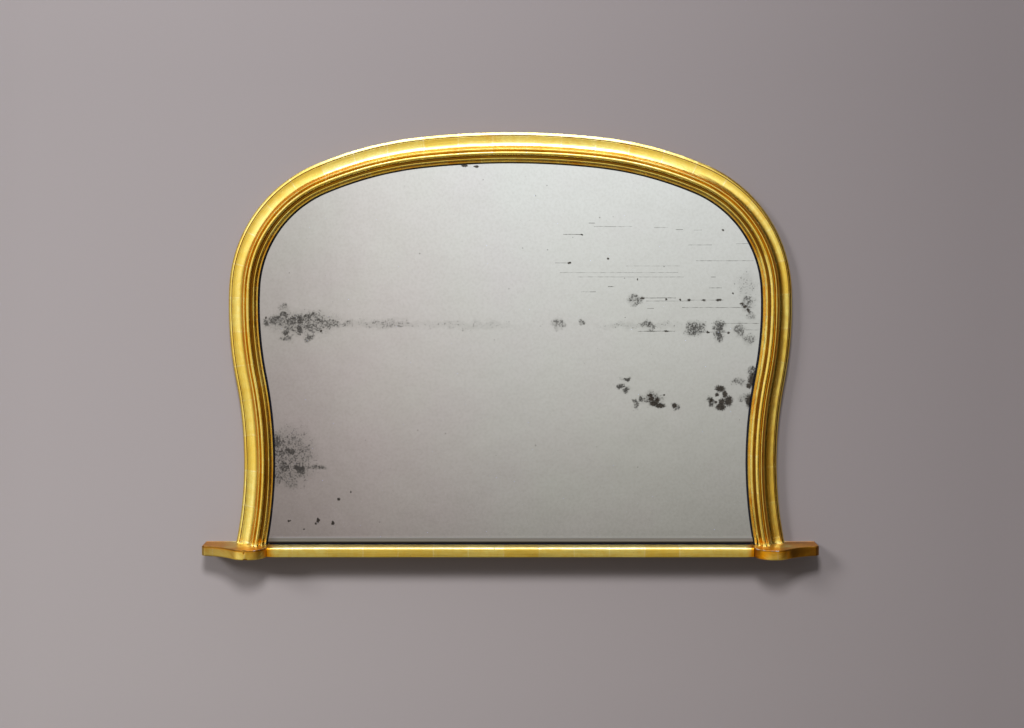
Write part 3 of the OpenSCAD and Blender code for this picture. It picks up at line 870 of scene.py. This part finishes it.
select_none()
plinth.select_set(True)
bpy.context.view_layer.objects.active = plinth
bpy.ops.object.duplicate()
left_plinth = bpy.context.object
left_plinth.name = left_plinth.data.name = "gilt_plinth_left"
edit(left_plinth)
bpy.ops.mesh.select_all(action="SELECT")
bpy.ops.transform.resize(value=(-1, 1, 1), center_override=(0, 0, 0))
bpy.ops.mesh.normals_make_consistent(inside=False)
leave_edit()


# Tone on the plinths, much of it painted light and shade: the rim's dark line and the darker right
# plinth are painted shade, and the top paler near the foot is painted light
rim_shade_tone, top_tone, front_tone, upper_tone = 1.55, 0.75, 0.15, 0.3
foot_glow_tone, foot_glow_reach = 0.5, 30 * mm
right_shade_tone, right_end_shade_tone, left_end_tone = 0.14, 0.9, 0.1


def plinth_tone_and_shade(at):
    """Tone for the plinths, much of it painted light and shade: a dark rim line of painted shade, a
    darker top, more tone towards both ends, the right plinth and its end darker as painted shade
    away from the lamps on the left, the top paler near the foot as painted light from the foot's
    gold, the front darker towards its top, and least tone on the front of the lobe.
    """
    x = abs(at.x)
    if base_top - rim_r < at.z < base_top - 0.02 * rim_r:
        return rim_shade_tone
    darker, at_ends = (right_shade_tone, right_end_shade_tone) if at.x > 0 else (0, left_end_tone)
    if at.z > base_top - rim_r:
        foot_gap = max(foot_x(mould_w) - x, x - foot_x(0), -at.y - high_h, 0)
        return top_tone + darker - foot_glow_tone * max(0, 1 - foot_gap / foot_glow_reach)
    off_front = min(1, abs(x - lobe_x) / lobe_r)
    return front_tone + darker + at_ends * off_front**2 + upper_tone * at.z / base_top


most_shade, rim_worn = 0.5, 0.72


def end_shade(at):
    """Painted shade: the left plinth's front is darkened towards its end."""
    on_front = at.z < base_top - rim_r
    off_lobe = (-at.x - lobe_x) / lobe_r
    return most_shade * min(1, max(0, off_lobe - 0.3)) if on_front else 0


def rim_wear(at):
    """The gold is rubbed away along the top edge of the lobe's front."""
    on_edge = base_top - rim_r < at.z < base_top - 0.05 * rim_r
    inner_half = abs(at.x) < lobe_x + 0.2 * lobe_r
    return rim_worn if on_edge and inner_half else 0


# A chip in the left lobe shows as two dark nicks, one at each edge of its front
chip_x, chip_reach, chip_depth, chip_tone = -596 * mm, 5 * mm, 2 * mm, 2
chips = [Vector((chip_x, -lobe_d, base_top)), Vector((chip_x + 3 * mm, -lobe_d, -1.5 * mm))]
plinth_gilt = gilt_material("plinth_gilt", "board", 0.1)
plinth_start = (20.03, -61 * mm)
for piece, node in ((plinth, "plinth_right"), (left_plinth, "plinth_left")):
    if node == "plinth_left":
        for chip in chips:
            swell(piece, -chip_depth, lambda at: max(0, 1 - (at - chip).length / chip_reach))
    mark(piece, "tone_and_shade", plinth_tone_and_shade)
    mark(piece, "worn", rim_wear)
    mark(piece, "dimmed_end", end_shade)
    for v in piece.data.vertices:
        if min((v.co - chip).length for chip in chips) < chip_reach:
            piece.data.attributes["tone_and_shade"].data[v.index].value = chip_tone
            piece.data.attributes["worn"].data[v.index].value = 0
    apply_modifier(piece, "DISPLACE", texture=lumps, texture_coords="LOCAL", strength=lump_h)
    smooth(piece)
    lay_out(piece, plinth_start)
    face_finishes(piece, [plinth_gilt, black, under_pine], board_finish)
    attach(piece, "frame")
    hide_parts(node)

# ---- Glass ----------------------------------------------------------------------------------
# Old glass plate, silvered behind with tin and mercury. Damp has eaten the silvering: grey
# clouds of specks, black holes near the frame, and fine lines where it was once scratched.

silver = (0.755, 0.785, 0.765)
silver_worn = (0.645, 0.665, 0.64)
bloom_reflection_grey = (0.18, 0.169, 0.152)
fog = (0.30, 0.31, 0.29)
hole, hole_brown = (0.026, 0.022, 0.017), (0.07, 0.058, 0.045)
pink_cast = (1.01, 0.92, 1.0)
rim_shadow = (0.004, 0.004, 0.005)
dull_low, dull_high = 11 * mm, 18 * mm
shadow_low, shadow_high = 4.5 * mm, 5.5 * mm

# Clouds of specks: middle across and up, half width, half height, in millimetres, strength
clouds = [
    (-471, 526, 110, 39, 0.6), (-478, 533, 16, 9, 0.9), (-460, 543, 11, 11, 0.85),
    (-478, 510, 13, 14, 0.85), (-510, 505, 16, 8, 0.85), (-460, 519, 18, 9, 0.75),
    (-432, 530, 9, 7, 0.85), (-534, 533, 25, 20, 0.75), (-557, 526, 14, 11, 0.85),
    (-518, 543, 11, 9, 0.8), (-499, 530, 20, 20, 0.8), (-512, 492, 23, 11, 0.6),
    (-460, 492, 18, 14, 0.65), (-407, 524, 32, 16, 0.62), (-373, 524, 23, 16, 0.5),
    (-517, 559, 20, 14, 0.5), (-286, 524, 114, 16, 0.42), (-104, 521, 183, 14, 0.3),
    (285, 579, 27, 16, 0.62), (545, 570, 20, 23, 0.6), (549, 544, 18, 14, 0.55),
    (312, 521, 23, 16, 0.72), (420, 512, 34, 25, 0.7), (423, 511, 11, 18, 0.85),
    (474, 508, 20, 32, 0.8), (479, 495, 14, 14, 0.9), (523, 510, 18, 23, 0.65),
    (545, 489, 20, 20, 0.6), (111, 524, 20, 18, 0.55), (164, 526, 11, 11, 0.6),
    (296, 521, 137, 11, 0.35), (538, 613, 32, 50, 0.35), (265, 400, 15, 8, 0.85),
    (251, 380, 9, 14, 0.9), (267, 373, 13, 14, 0.85), (300, 355, 9, 9, 0.75),
    (287, 343, 11, 14, 0.65), (323, 352, 36, 23, 0.6), (378, 332, 14, 11, 0.7),
    (456, 347, 14, 14, 0.85), (522, 393, 25, 14, 0.6), (552, 414, 14, 20, 0.75),
    (529, 355, 14, 14, 0.5), (-532, 256, 18, 30, 0.8), (-506, 230, 20, 14, 0.85),
    (-526, 227, 20, 16, 0.75), (-517, 199, 23, 20, 0.8), (-478, 193, 19, 15, 1),
    (-463, 219, 20, 20, 0.5), (-532, 176, 20, 27, 0.6), (-503, 165, 32, 25, 0.5),
    (-442, 196, 32, 11, 0.62), (-503, 220, 78, 96, 0.54),
]
# Holes in the silvering: middle across and up, half width, half height, in millimetres
holes = [
    (479, 376, 14, 9), (490, 363, 7, 10), (472, 362, 5.5, 5.5),
    (498, 348, 12, 14), (480, 334, 14, 10), (483, 346, 9, 10),
    (458, 348, 4.5, 5.5), (469, 345, 3.5, 3.5), (553, 395, 13, 20),
    (544, 383, 8, 8), (547, 348, 12, 20), (319, 361, 8, 4.5),
    (322, 353, 6.5, 8), (328, 342, 12, 7), (342, 337, 14, 7),
    (335, 350, 7, 6.5), (351, 362, 3, 3), (374, 337, 7, 7.5),
    (528, 570, 5.5, 3), (536, 563, 5.5, 4.5), (543, 555, 4.5, 5),
    (302, 583, 5.5, 3.5), (476, 578, 8, 3.5), (442, 577, 5.5, 3),
    (408, 579, 4.5, 3.5), (388, 579, 3, 3), (356, 579, 3.5, 2.5),
    (509, 594, 2.5, 2.5), (356, 507, 5.5, 2.5), (451, 505, 4.5, 3),
    (498, 504, 3.5, 3.5), (485, 738, 3, 3), (163, 727, 3.5, 2.5),
    (135, 663, 4.5, 3.5), (223, 672, 3, 3), (290, 625, 2.5, 2.5),
    (-104, 885, 10, 3.5), (-78, 883, 7.5, 3), (-558, 538, 3.5, 3.5),
    (-432, 508, 3.5, 3.5), (-505, 74, 3.5, 3), (-439, 75, 4.5, 7),
    (-444, 68, 3, 3), (-405, 69, 4.5, 5.5), (-471, 55, 2.5, 2.5),
    (-392, 124, 4, 3.5), (-364, 140, 2.5, 2.5),
]
# Lines: height, left end, right end, in millimetres, strength
lines = [
    (754, 179, 193, 0.7), (746, 191, 278, 0.5), (744, 328, 360, 0.5),
    (739, 378, 394, 0.6), (738, 419, 437, 0.5), (728, 120, 166, 0.75),
    (704, 406, 460, 0.5), (707, 515, 543, 0.5), (668, 424, 556, 0.55),
    (663, 102, 136, 0.55), (656, 264, 387, 0.3), (641, 113, 383, 0.4),
    (631, 154, 396, 0.4), (631, 458, 469, 0.7), (609, 223, 237, 0.9),
    (606, 453, 483, 0.7), (597, 161, 195, 0.6), (583, 305, 378, 0.8),
    (576, 310, 410, 0.55), (578, 396, 488, 0.5), (561, 392, 552, 0.6),
    (559, 312, 328, 0.5), (525, 458, 568, 0.6), (510, 538, 568, 0.5),
    (507, 291, 376, 0.95), (505, 442, 501, 0.5),
]

# How far a place lies inside an ellipse: 1 at its middle, 0 at its edge, less outside
blot, given, result = new_group(
    "blot", {"Place": "Vector", "Middle": "Vector", "Size": "Vector"}, {"Inside": "Float"}
)
off = add(blot, "VectorMath", {0: given["Place"], 1: given["Middle"]}, operation="SUBTRACT")
share = add(blot, "VectorMath", {0: off.outputs[0], 1: given["Size"]}, operation="DIVIDE")
far = add(blot, "VectorMath", {0: share.outputs[0]}, operation="LENGTH").outputs["Value"]
plug(blot, result, {0: calc(blot, "SUBTRACT", 1.0, far)})

silvered, tree, shader = new_material("aged_mirror")
where = on_piece(tree)


def warped(amount, scale):
    """Places on the glass, pushed about by noise, so that edges come out ragged."""
    inputs = {"Vector": where, "Scale": scale, "Detail": 3}
    push = add(tree, "TexNoise", inputs).outputs["Color"]
    centred = add(tree, "VectorMath", {0: push, 1: (0.5, 0.5, 0.5)}, operation="SUBTRACT")
    pushed = {0: centred.outputs[0], 1: (amount, 0, amount), 2: where}
    return add(tree, "VectorMath", pushed, operation="MULTIPLY_ADD").outputs[0]


def inside(place, x, z, half_w, half_h):
    """How far places lie inside an ellipse whose middle and half sizes are in millimetres."""
    middle, size = Vector((x, 0, z)) * mm, Vector((half_w * mm, 1, half_h * mm))
    inputs = {"Place": place, "Middle": middle, "Size": size}
    return add(tree, "Group", inputs, node_tree=blot).outputs[0]


def speck_cloud(place, x, z, half_w, half_h, strength):
    """A cloud is as thick as its strength over most of its ellipse, and fades to its edge."""
    filled = times(tree, inside(place, x, z, half_w, half_h), cloud_fill, clamp=True)
    return times(tree, filled, strength)


def scratch(place, height, left, right, strength):
    """A level line of this strength between two ends, in millimetres."""
    level = calc(tree, "COMPARE", place["Z"], height * mm, line_w / 2)
    middle, half = (left + right) / 2 * mm, (right - left) / 2 * mm
    spanned = calc(tree, "COMPARE", place["X"], middle, half)
    return times(tree, level, times(tree, spanned, strength))


# How thick the clouds of specks are, and where the silvering is eaten right away
cloud_fill = 1.8
ragged = warped(30 * mm, 55)
clouded = largest(tree, *[speck_cloud(ragged, *cloud) for cloud in clouds])
frayed = warped(6 * mm, 160)
pits = noise(tree, where, 330, detail=4, shift=(8, 8, 8))
rim = largest(tree, *[inside(frayed, *spot) for spot in holes])
eaten = between(tree, scaled(tree, pits, 0.9, rim), 0.35, 0.9)

# Old scratches, broken into dashes
line_w = 1.5 * mm
shaky = add(tree, "SeparateXYZ", {0: warped(1.2 * mm, 60)}).outputs
scratched = largest(tree, *[scratch(shaky, *line) for line in lines])
dashes = between(tree, noise(tree, where, 1, stretch=(85, 1, 160), detail=4), 0.4, 0.6, 0.35, 1)
scratched = times(tree, scratched, dashes)

# The thicker the cloud, the more of the specks and clots in it are dark
specks = noise(tree, where, 290, detail=3)
clots = noise(tree, where, 105, detail=3, shift=(2, 2, 2))
speckled = scaled(tree, specks, 0.6, times(tree, clots, 0.4))
crowd = scaled(tree, clouded, 0.36, speckled)
foxed = between(tree, crowd, 0.63, 0.84)
fogged = times(tree, between(tree, clouded, 0, 0.8), 0.42)

# Pinholes all over, each of its own size, and a faint mottle
dust_cells = add(tree, "TexVoronoi", {"Vector": where, "Scale": 34})
dust_size = add(tree, "SeparateColor", {0: dust_cells.outputs["Color"]}).outputs[0]
dust_r = between(tree, dust_size, 0.35, 1.0, 0.0, 0.055)
dust = times(tree, calc(tree, "LESS_THAN", dust_cells.outputs["Distance"], dust_r), 0.5)
mottle = noise(tree, where, 150, detail=4, shift=(9, 9, 9))
soft_mottle = noise(tree, where, 14, detail=3, shift=(4, 4, 4))
tinge = noise(tree, where, 7, detail=2, shift=(6, 6, 6))

colour = blend(tree, between(tree, mottle, 0.35, 0.75, 0.0, 0.45), silver, silver_worn)
colour = blend(tree, times(tree, soft_mottle, 0.25), colour, silver_worn)
# A pink tinge lies low down on the left
across_glass, _, up = add(tree, "SeparateXYZ", {0: where}).outputs
pink = between(tree, across_glass, -0.5, 0.3, 1, 0)
pink = times(tree, pink, between(tree, up, 0.05, 0.85, 1, 0.3))
pink = scaled(tree, calc(tree, "SUBTRACT", tinge, 0.5), 0.8, pink, clamp=True)
colour = blend(tree, pink, colour, blend(tree, 1.0, colour, pink_cast, "MULTIPLY"))
colour = blend(tree, fogged, colour, fog)
colour = blend(tree, times(tree, foxed, 0.85), colour, hole)
colour = blend(tree, largest(tree, scratched, dust), colour, hole)
pitted = blend(tree, between(tree, pits, 0.4, 0.65), hole_brown, hole)
colour = blend(tree, times(tree, eaten, 0.96), colour, pitted)
# Along its bottom edge, just above the rail, the silvering is dull, and its grey stands in for
# the mirror's reflection there as painted reflection. Beside the rail a black line is painted
# shadow.
dull_strip = between(tree, up, base_top + dull_low, base_top + dull_high, 1, 0)
colour = blend(tree, dull_strip, colour, bloom_reflection_grey)
painted_rim_shadow = between(tree, up, base_top + shadow_low, base_top + shadow_high, 1, 0)
colour = blend(tree, painted_rim_shadow, colour, rim_shadow)
lost = largest(tree, foxed, eaten, dull_strip)
plug(
    tree,
    shader,
    {
        "Base Color": colour,
        "Metallic": scaled(tree, dull_strip, -0.8, 1.0),
        "Roughness": scaled(tree, lost, 0.12, 0.07),
        "Normal": bump(tree, times(tree, noise(tree, where, 9), 0.3)),
        "Coat Weight": between(tree, largest(tree, eaten, dull_strip), 0, 1, 0.35, 0.1),
        "Coat Roughness": 0.03,
    },
)


def dress(node, material):
    """Puts a material on a CAD node, whose shape stays as it is."""
    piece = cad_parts[node]
    piece.data.materials.clear()
    piece.data.materials.append(material)


dress("glass_plate", silvered)

# ---- Setting pieces and glazing blocks ------------------------------------------------------
# The plate stands on two slips of harness leather. Behind it, pine blocks are glued into the
# rebate to hold it forward.

hide, tree, shader = new_material("harness_leather")
where = on_piece(tree)
pores = add(tree, "TexVoronoi", {"Vector": where, "Scale": 1100}).outputs["Distance"]
worn_hide = noise(tree, where, 90, detail=4)
plug(
    tree,
    shader,
    {
        "Base Color": blend(tree, worn_hide, (0.075, 0.035, 0.018), (0.16, 0.085, 0.045)),
        "Roughness": between(tree, worn_hide, 0.3, 0.7, 0.5, 0.8),
        "Normal": bump(tree, times(tree, pores, 0.15)),
    },
)
dress("setting_pieces", hide)

block_pine = pine_material("block_pine", (0.52, 0.36, 0.20), (0.36, 0.21, 0.10), start=(1, 0.04, 2))
dress("glazing_blocks", block_pine)

# ---- Carcass --------------------------------------------------------------------------------
# Six flat boards, three a side, are sawn to the curve and glued and screwed behind the moulding.
# Each runs with its grain along its own stretch. Their outer edges are brushed with ochre.

carcass_grain = {"carcass_top": 18, "carcass_shoulder": 62, "carcass_side": 84}
for k, (board, turn) in enumerate(carcass_grain.items()):
    for side, hand in ((1, "right"), (-1, "left")):
        aged = pine_material(
            f"{board}_{hand}_pine",
            pine_pale,
            pine_dark,
            turn=math.radians(-side * turn),
            start=(0.7 * k + 0.2 * side, 0.035, 0.3 * k + 0.11 * side),
            washed=True,
        )
        dress(f"{board}_{hand}", aged)

# ---- Backboards -----------------------------------------------------------------------------
# Five sawn pine boards are laid across the back and screwed to the ledge. They have never been
# finished, and have darkened with dust.

board_pale, board_dark = (0.34, 0.225, 0.12), (0.20, 0.12, 0.06)
shades = {"bottom": 0.95, "lower": 1.08, "middle": 0.9, "upper": 1.0, "top": 1.12}
for k, (board, shade_of) in enumerate(shades.items()):
    aged = pine_material(
        f"backboard_{board}_pine",
        tuple(shade_of * c for c in board_pale),
        tuple(shade_of * c for c in board_dark),
        start=(0.9 * k, 0.05 - 0.012 * k, 0.37 * k),
    )
    dress(f"backboard_{board}", aged)

# ---- Dowels and screws ----------------------------------------------------------------------
# Pine dowels join the rail to the plinths. The screws are steel with a turned slot, gone brown.

dress("rail_dowels", block_pine)

browned, tree, shader = new_material("browned_steel")
where = on_piece(tree)
rust = between(tree, noise(tree, where, 420, detail=5), 0.42, 0.66)
turned = noise(tree, where, 2600)
plug(
    tree,
    shader,
    {
        "Base Color": blend(tree, rust, (0.23, 0.215, 0.20), (0.115, 0.052, 0.026)),
        "Metallic": between(tree, rust, 0, 1, 0.95, 0.15),
        "Roughness": between(tree, rust, 0, 1, 0.38, 0.8),
        "Normal": bump(tree, scaled(tree, rust, 0.06, times(tree, turned, 0.01))),
    },
)
for screws in ("carcass_screws", "plinth_screws", "backboard_screws"):
    dress(screws, browned)

# ---- Hangers --------------------------------------------------------------------------------
# Each hanger is a brass strap with a knuckle, held by two round-headed screws. A ring of bent
# brass wire swings in the knuckle. The brass has tarnished, and shines where the ring rubs.

tarnished, tree, shader = new_material("tarnished_brass")
where = on_piece(tree)
tarnish = between(tree, noise(tree, where, 130, detail=6), 0.38, 0.66)
green = between(tree, noise(tree, where, 340, detail=4, shift=(5, 5, 5)), 0.64, 0.74)
scuffs = noise(tree, where, 1, stretch=(300, 1500, 1500), detail=3)
colour = blend(tree, tarnish, (0.62, 0.43, 0.15), (0.24, 0.145, 0.05))
plug(
    tree,
    shader,
    {
        "Base Color": blend(tree, times(tree, green, 0.6), colour, (0.12, 0.17, 0.11)),
        "Metallic": scaled(tree, green, -0.6, 1.0),
        "Roughness": scaled(tree, tarnish, 0.22, between(tree, scuffs, 0.2, 0.8, 0.24, 0.38)),
        "Normal": bump(tree, scaled(tree, scuffs, 0.02, times(tree, tarnish, 0.01))),
    },
)
for hand in ("left", "right"):
    dress(f"hanger_strap_{hand}", tarnished)
    dress(f"hanger_ring_{hand}", tarnished)
dress("hanger_screws", tarnished)

# ---- Wall, floor, lamps and camera ----------------------------------------------------------
# A plain grey wall close behind the hangers, and a pale floor below. The wall's paint is paler
# to the left and darker to the right, as painted light from the left. A soft key from above, a
# broad lamp from the left, and a bright patch behind the camera that shows in the glass.

wall_gap = 0.5 * mm
wall_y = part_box("hanger_strap_left")[1].y + wall_gap
wall_half_w, wall_low, wall_high = 2.6, -1.25, 2.4
wall_lit_left, wall_shaded_right = (0.388, 0.353, 0.356), (0.228, 0.203, 0.206)
wall_left_x, wall_right_x = -1.1, 1.1
wall_dark_from, wall_dark_to, wall_dark = -0.3, 1.1, (0.815, 0.815, 0.825)
floor_w = 7
floor_pale, floor_cast = (0.62, 0.61, 0.595), (0.18, 0.166, 0.145)
# The wall lets rays through near the back of the mirror, so that the back isn't dark from behind
near_back = 15 * mm


def straight(value, low, high, start=0.0, end=1.0):
    """Goes in a straight line from start, where value is low, to end, where it is high."""
    return add(tree, "MapRange", {0: value, 1: low, 2: high, 3: start, 4: end}).outputs[0]


wall_paint, tree, shader = new_material("wall_paint")
x, _, height = add(tree, "SeparateXYZ", {0: on_piece(tree)}).outputs
# Painted light: the paint goes from paler on the lit left to darker on the right
painted = blend(tree, straight(x, wall_left_x, wall_right_x), wall_lit_left, wall_shaded_right)
# The lamp is nearer the top of the wall, so the paint is a little darker there
higher_up = straight(height, wall_dark_from, wall_dark_to)
painted = blend(tree, higher_up, painted, blend(tree, 1.0, painted, wall_dark, "MULTIPLY"))
plug(tree, shader, {"Base Color": painted, "Roughness": 0.9, "Specular IOR Level": 0.1})
path = add(tree, "LightPath").outputs
short = calc(tree, "LESS_THAN", path["Ray Length"], near_back)
unseen = times(tree, short, calc(tree, "SUBTRACT", 1.0, path["Is Camera Ray"]))
behind = add(tree, "NewGeometry").outputs["Backfacing"]
clear = largest(tree, behind, unseen)
see_through = add(tree, "BsdfTransparent")
either = add(tree, "MixShader", {0: clear, 1: shader.outputs[0], 2: see_through.outputs[0]})
plug(tree, tree.nodes["Material Output"], {"Surface": either.outputs[0]})

select_none()
bpy.ops.mesh.primitive_plane_add(
    size=1, location=(0, wall_y, (wall_low + wall_high) / 2), rotation=(math.pi / 2, 0, 0)
)
wall = bpy.context.object
wall.scale = (2 * wall_half_w, wall_high - wall_low, 1)
wall.name = wall.data.name = "wall"
bpy.ops.object.transform_apply()
wall.data.materials.append(wall_paint)

floor_paint, tree, shader = new_material("floor_paint")
seen = add(tree, "LightPath").outputs["Is Camera Ray"]
# It throws less light up at the mirror than it shows
plug(tree, shader, {"Base Color": blend(tree, seen, floor_cast, floor_pale), "Roughness": 0.85})
select_none()
bpy.ops.mesh.primitive_plane_add(size=floor_w, location=(0, 0, wall_low))
floor = bpy.context.object
floor.name = floor.data.name = "floor"
bpy.ops.object.transform_apply()
floor.data.materials.append(floor_paint)


def sun(name, from_way, strength, angle):
    """A sun that shines from this way on all but glossy surfaces, which show the room instead."""
    light = bpy.data.lights.new(name, "SUN")
    light.energy, light.angle = strength, math.radians(angle)
    lamp = bpy.data.objects.new(name, light)
    bpy.context.scene.collection.objects.link(lamp)
    lamp.rotation_euler = Vector(from_way).to_track_quat("Z", "Y").to_euler()
    lamp.visible_glossy = False


sun("left_key", (-1.1, -1, 0.78), 1.5, 15)
sun("rear_fill", (0.5, 1, 0.6), 1.2, 30)

# The main lamp hangs over the camera, so the shadows fall down and a little outwards
lamp_w, lamp_watts = 0.9, 150
lamp_place = Vector((-0.15, -3.6, 2.9))
light = bpy.data.lights.new("front_key", "AREA")
light.shape, light.size, light.energy = "DISK", lamp_w, lamp_watts
lamp = bpy.data.objects.new("front_key", light)
bpy.context.scene.collection.objects.link(lamp)
lamp.location = lamp_place
lamp.rotation_euler = lamp_place.to_track_quat("Z", "Y").to_euler()
lamp.visible_glossy = lamp.visible_camera = False

world = bpy.data.worlds.new("studio")
bpy.context.scene.world = world
world.use_nodes = True
world.cycles.sampling_method = "NONE"
tree = world.node_tree
towards = add(tree, "SeparateXYZ", {0: add(tree, "TexCoord").outputs["Generated"]}).outputs
x, z = towards["X"], towards["Z"]
# What the glass shows, low behind the camera: a bright patch, darker below and at the left
patch_x, patch_w = 0.014, 0.145
off_patch = calc(tree, "POWER", calc(tree, "SUBTRACT", x, patch_x), 2.0)
patch = calc(tree, "EXPONENT", times(tree, off_patch, -0.5 / patch_w**2))
patch = scaled(tree, patch, 0.35, 0.65)
in_glass = times(tree, straight(z, -0.30, 0.04, 0.11, 1.02), patch)
in_glass = times(tree, in_glass, straight(x, -0.16, -0.09, 0.8, 1.0))
# What only the gilding shows: the room around, brightest overhead and to the left
lower = straight(z, -0.8, -0.05, 0.15, 0.66)
higher = straight(z, 0.10, 0.85, 0.0, 0.40)
in_gilt = calc(tree, "ADD", lower, higher)
overhead = straight(z, 0.84, 0.98, 1.0, 6.0)
on_left = straight(x, -0.90, -0.15, 1.85, 1.0)
far_left = straight(x, -0.99, -0.92, 0.5, 1.0)
on_right = straight(x, 0.10, 0.45, 1.1, 1.75)
low_right = scaled(tree, calc(tree, "MINIMUM", z, 0.0), -2.0, x)
low_right = straight(low_right, 0.48, 0.88, 1.0, 0.13)
near_wall = straight(towards["Y"], -0.5, -0.3, 0.0, 1.0)
right_of_wall = times(tree, near_wall, straight(x, 0.2, 0.5, 0.0, 1.0))
right_of_wall = scaled(tree, right_of_wall, -0.85, 1.0)
for factor in (overhead, on_left, far_left, on_right, low_right, right_of_wall):
    in_gilt = times(tree, in_gilt, factor)
beside = straight(calc(tree, "ABSOLUTE", x), 0.16, 0.26, 0.0, 1.0)
outside = largest(tree, beside, straight(z, 0.05, 0.10, 0.0, 1.0))
power = add(tree, "Mix", {0: outside, 2: in_glass, 3: in_gilt}).outputs[0]
to_left = calc(tree, "ADD", z, calc(tree, "MINIMUM", x, 0.0))
warm = straight(to_left, -0.33, 0.03, 0.0, 1.0)
sky_colour = blend(tree, warm, (1.0, 0.90, 0.78), (1.0, 0.99, 0.985))
# In the gilding the dark parts of the room are warm and its windows cool
lit = blend(tree, straight(in_gilt, 0.1, 0.7, 0, 1), (1.0, 0.62, 0.22), (1.0, 0.98, 0.95))
lit = blend(tree, straight(in_gilt, 0.8, 2.2, 0, 1), lit, (0.9, 1.13, 2.6))
path = add(tree, "LightPath").outputs
scattered = calc(tree, "MINIMUM", path["Diffuse Depth"], 1.0)
shown = times(tree, outside, calc(tree, "SUBTRACT", 1.0, scattered))
sky_colour = blend(tree, shown, sky_colour, lit)
# Most of the light on dull surfaces comes from the suns. The room gives only some of it, and
# its windows aren't brighter than its walls there.
no_limit, front_share = 20.0, 0.35
power = calc(tree, "MINIMUM", power, straight(scattered, 0.0, 1.0, no_limit, 1.0))
in_front = calc(tree, "LESS_THAN", towards["Y"], 0.0)
damped = times(tree, scattered, in_front)
power = times(tree, power, straight(damped, 0.0, 1.0, 1.0, front_share))
seen = path["Is Camera Ray"]
sky_colour = blend(tree, seen, sky_colour, (0.78, 0.77, 0.76))
power = largest(tree, power, seen)
plug(tree, tree.nodes["Background"], {"Color": sky_colour, "Strength": power})

# The photograph was taken square on, with the lens raised: its middle lies above the frame's
image_w = 1024
lens, sensor = 55.0, 36.0
lens_x, lens_distance, lens_z = 1.4 * mm, 3.6, 0.7587
right_px, down_px = 1, 143
camera_data = bpy.data.cameras.new("camera")
camera_data.lens, camera_data.sensor_width = lens, sensor
camera_data.shift_x, camera_data.shift_y = right_px / image_w, -down_px / image_w
camera = bpy.data.objects.new("camera", camera_data)
bpy.context.scene.collection.objects.link(camera)
camera.location = (lens_x, -lens_distance, lens_z)
camera.rotation_euler = (math.pi / 2, 0, 0)
bpy.context.scene.camera = camera
bpy.context.scene.view_settings.view_transform = "Standard"
